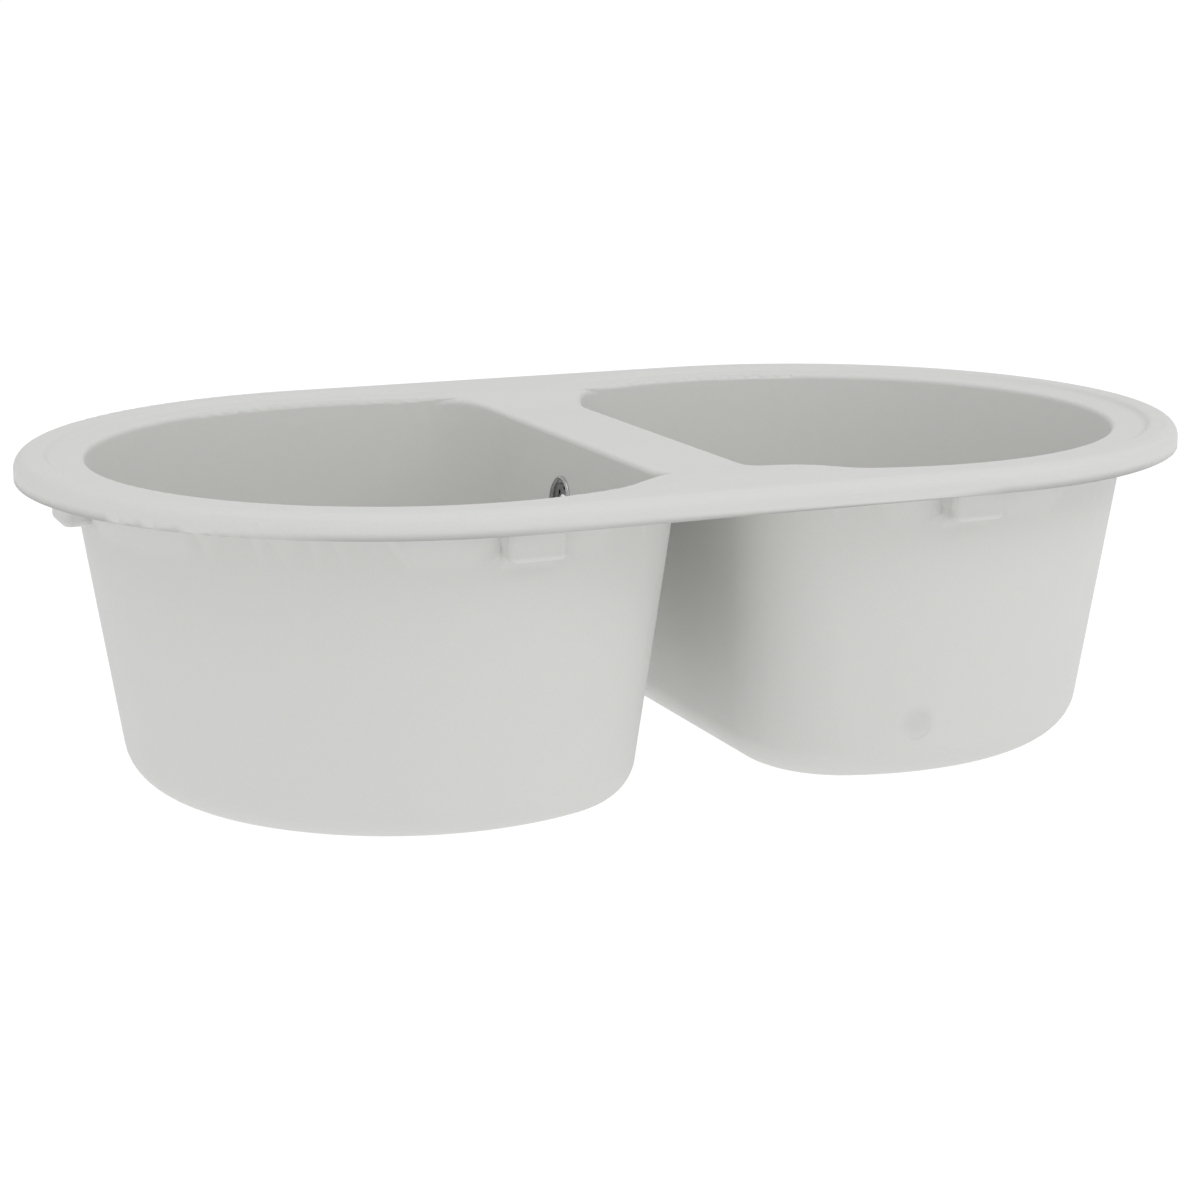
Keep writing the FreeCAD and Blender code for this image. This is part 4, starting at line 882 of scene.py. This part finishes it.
    def inserts(self):
        """Brass inserts, set a little way up into the lugs."""
        low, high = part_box("clip_inserts")
        holes = []
        pattern = mount("clip_holes_front_back")["dims"]
        for x in (-1, 1):
            for y in (-1, 1):
                holes.append((x * pattern["spacing_x_mm"] / 2 * MM, y * pattern["spacing_y_mm"] / 2 * MM))
        ends = mount("clip_holes_ends")["dims"]
        holes += [(x * ends["spacing_x_mm"] / 2 * MM, 0.0) for x in (-1, 1)]
        bm = bmesh.new()
        outer, bore, foot = 3.45 * MM, 2.1 * MM, low.z + 1.2 * MM
        bevel = 0.4 * MM
        groove = outer - bevel
        points = [(bore + bevel, foot), (outer, foot), (outer, foot + 3.0 * MM), (groove, foot + 3.4 * MM),
                  (groove, foot + 4.4 * MM), (outer, foot + 4.8 * MM), (outer, high.z), (bore, high.z),
                  (bore, foot + bevel)]
        for x, y in holes:
            add_mesh(bm, lying(spun(points, {1: 0.2 * MM}, steps=36), Matrix.Translation((x, y, 0))))
        return mesh_object("inserts", bm, smooth=FITTING_CREASE)

    def execute(self, context):
        settings = context.scene.sink_fitting
        made = finishes()
        plastic = made["moulded_plastic"]
        for side in SIDES:
            housing, turns = self.housing(side, settings)
            dress(housing, SINK, "plastic", plastic, f"{side}_waste_housing")
            dress(turns, SINK, "plastic", plastic)
        dress(self.cap(settings), SINK, "plastic", plastic, "right_inlet_cap")
        dress(self.elbow(settings), SINK, "plastic", plastic, "overflow_elbow")
        dress(self.inserts(), SINK, "brass", made["turned_brass"], "clip_inserts")
        return {"FINISHED"}


class SINK_OT_overflow(bpy.types.Operator):
    """Build the overflow's plated ring, its dished and pierced middle and its screw"""
    bl_idname = "sink.overflow"
    bl_label = "Overflow cover"

    def execute(self, context):
        settings = context.scene.sink_overflow
        made = finishes()
        place = overflow_place()
        height, depth = settings.ring_height, settings.dish_depth
        tube, tube_in, tube_back = 11.7 * MM, 11.3 * MM, -depth - 1.3 * MM
        points = [
            (settings.throat_radius, 0.4 * height), (settings.throat_radius + 0.9 * MM, height),
            (settings.ring_radius - 1.6 * MM, height), (settings.ring_radius, 0.45 * height),
            (settings.ring_radius, 0.0), (tube, 0.0), (tube, tube_back), (tube_in, tube_back),
            (tube_in, -0.4 * MM), (13.0 * MM, -0.1 * MM)]
        bm = spun(points, {1: 0.7 * MM, 2: 0.9 * MM, 3: 0.5 * MM, 0: 0.4 * MM}, steps=96)
        ring = mesh_object("overflow_ring", bm, place)
        dress(ring, SINK, "chrome", made["overflow_chrome"], "overflow_cover")
        hole, dish_out, dish_back = 2.3 * MM, 11.4 * MM, -depth - 1.2 * MM
        points = [
            (hole, dish_back), (dish_out, dish_back), (dish_out, -0.6 * MM),
            (settings.dish_radius, -depth), (hole, -depth)]
        dish = spun(points, {3: 1.6 * MM}, steps=96)
        tool = rods(settings.holes, settings.hole_radius, 8 * MM, settings.hole_circle, -depth)
        dress(pierced("overflow_dish", dish, tool, place), SINK, "chrome", made["overflow_dish_chrome"])
        head = settings.screw_radius
        base = -depth
        shank, shank_length = 2.0 * MM, 22.0 * MM
        points = [
            (0.0, base - shank_length), (shank, base - shank_length), (shank, base), (head, base),
            (head, base + 0.6 * MM), (0.72 * head, base + 1.7 * MM), (0.35 * head, base + 2.2 * MM),
            (0.0, base + 2.3 * MM)]
        screw = spun(points, {4: 0.4 * MM, 5: 1.2 * MM, 6: 1.0 * MM}, steps=64)
        slot = bmesh.new()
        add_block(slot, (0.9 * MM, 3 * head, 1.4 * MM), Matrix.Translation((0, 0, base + 2.1 * MM)))
        screw_head = pierced("overflow_screw_head", screw, slot, place)
        dress(screw_head, SINK, "steel", made["bright_chrome"], "overflow_screw")
        return {"FINISHED"}


class SINK_OT_stage(bpy.types.Operator):
    """Set up the camera, the floor and the light"""
    bl_idname = "sink.stage"
    bl_label = "Stage"

    def lamp(self, scene, name, size, power, spot):
        """A large soft round light that faces the sink."""
        light = bpy.data.lights.new(name, "AREA")
        light.shape = "DISK"
        light.size = size
        light.energy = power
        made = bpy.data.objects.new(name, light)
        made.location = spot
        made.rotation_mode = "QUATERNION"
        made.rotation_quaternion = (-made.location).to_track_quat("-Z", "Y")
        scene.collection.objects.link(made)

    def execute(self, context):
        settings = context.scene.sink_stage
        scene = context.scene
        eye = bpy.data.cameras.new("camera")
        eye.sensor_width = SENSOR_WIDTH
        eye.lens = settings.lens
        eye.clip_start, eye.clip_end = 0.01, 1000.0
        camera = bpy.data.objects.new("camera", eye)
        scene.collection.objects.link(camera)
        across, up = settings.heading, settings.tilt
        back = Vector((math.sin(across) * math.cos(up), -math.cos(across) * math.cos(up), math.sin(up)))
        rim = Vector((0.0, 0.0, CAD_BOX[1].z))
        right = Vector((math.cos(across), math.sin(across), 0.0))
        camera.location = (rim + back * settings.distance + right * settings.aside
                           + Vector((0, 0, settings.raised)))
        camera.rotation_mode = "QUATERNION"
        camera.rotation_quaternion = (-back).to_track_quat("-Z", "Y")
        scene.camera = camera

        bm = bmesh.new()
        bmesh.ops.create_grid(bm, x_segments=8, y_segments=8, size=settings.floor_reach)
        floor = mesh_object("floor", bm, Matrix.Translation((0, 0, CAD_BOX[0].z - 1.0 * MM)))
        paint, shader = material("floor_paint", 0.9)
        tree = paint.node_tree
        shade = noise(tree, object_point(tree), 3.0)
        worn = darker(settings.floor_colour, 0.9)
        tree.links.new(blend_colours(tree, shade, settings.floor_colour, worn), shader.inputs["Base Color"])
        shader.inputs["Specular IOR Level"].default_value = 0.0
        shader.inputs["Emission Color"].default_value = (1.0, 1.0, 1.0, 1.0)
        shader.inputs["Emission Strength"].default_value = settings.floor_glow
        floor.data.materials.append(paint)

        world = bpy.data.worlds.new("studio")
        world.use_nodes = True
        tree = world.node_tree
        sky = tree.nodes["Background"]
        sky.inputs["Color"].default_value = (*settings.sky_colour, 1.0)
        height = node(tree, "SeparateXYZ")
        tree.links.new(node(tree, "TexCoord").outputs["Generated"], height.inputs["Vector"])
        strength = spread(tree, height.outputs["Z"], 0.01, 0.12, settings.horizon_strength,
                          settings.sky_strength)
        tree.links.new(strength, sky.inputs["Strength"])
        scene.world = world
        for name, place in LAMP_PLACES.items():
            self.lamp(scene, name, settings.lamp_size, getattr(settings, f"{name}_power"), place)
        scene.view_settings.view_transform = "Standard"
        return {"FINISHED"}


OPERATORS = (SINK_OT_finishes, SINK_OT_moulding, SINK_OT_baskets, SINK_OT_dishes, SINK_OT_fittings,
             SINK_OT_overflow, SINK_OT_stage)


class SINK_PT_panel(bpy.types.Panel):
    """Lists the pieces of the sink"""
    bl_idname = "SINK_PT_panel"
    bl_label = "Sink"
    bl_space_type = "VIEW_3D"
    bl_region_type = "UI"
    bl_category = "Sink"

    def draw(self, context):
        for operator in OPERATORS:
            self.layout.operator(operator.bl_idname)


SETTINGS = {
    "sink_finish": SinkFinishSettings,
    "sink_moulding": SinkMouldingSettings,
    "sink_basket": SinkBasketSettings,
    "sink_dish": SinkDishSettings,
    "sink_fitting": SinkFittingSettings,
    "sink_overflow": SinkOverflowSettings,
    "sink_stage": SinkStageSettings,
}


def register():
    for group in SETTINGS.values():
        bpy.utils.register_class(group)
    for operator in OPERATORS:
        bpy.utils.register_class(operator)
    bpy.utils.register_class(SINK_PT_panel)
    for name, group in SETTINGS.items():
        setattr(bpy.types.Scene, name, PointerProperty(type=group))


def unregister():
    for name in SETTINGS:
        delattr(bpy.types.Scene, name)
    bpy.utils.unregister_class(SINK_PT_panel)
    for operator in reversed(OPERATORS):
        bpy.utils.unregister_class(operator)
    for group in reversed(SETTINGS.values()):
        bpy.utils.unregister_class(group)


def main():
    register()
    bpy.ops.sink.finishes()
    bpy.ops.sink.moulding()
    bpy.ops.sink.baskets()
    bpy.ops.sink.dishes()
    bpy.ops.sink.fittings()
    bpy.ops.sink.overflow()
    bpy.ops.sink.stage()


if __name__ == "__main__":
    main()
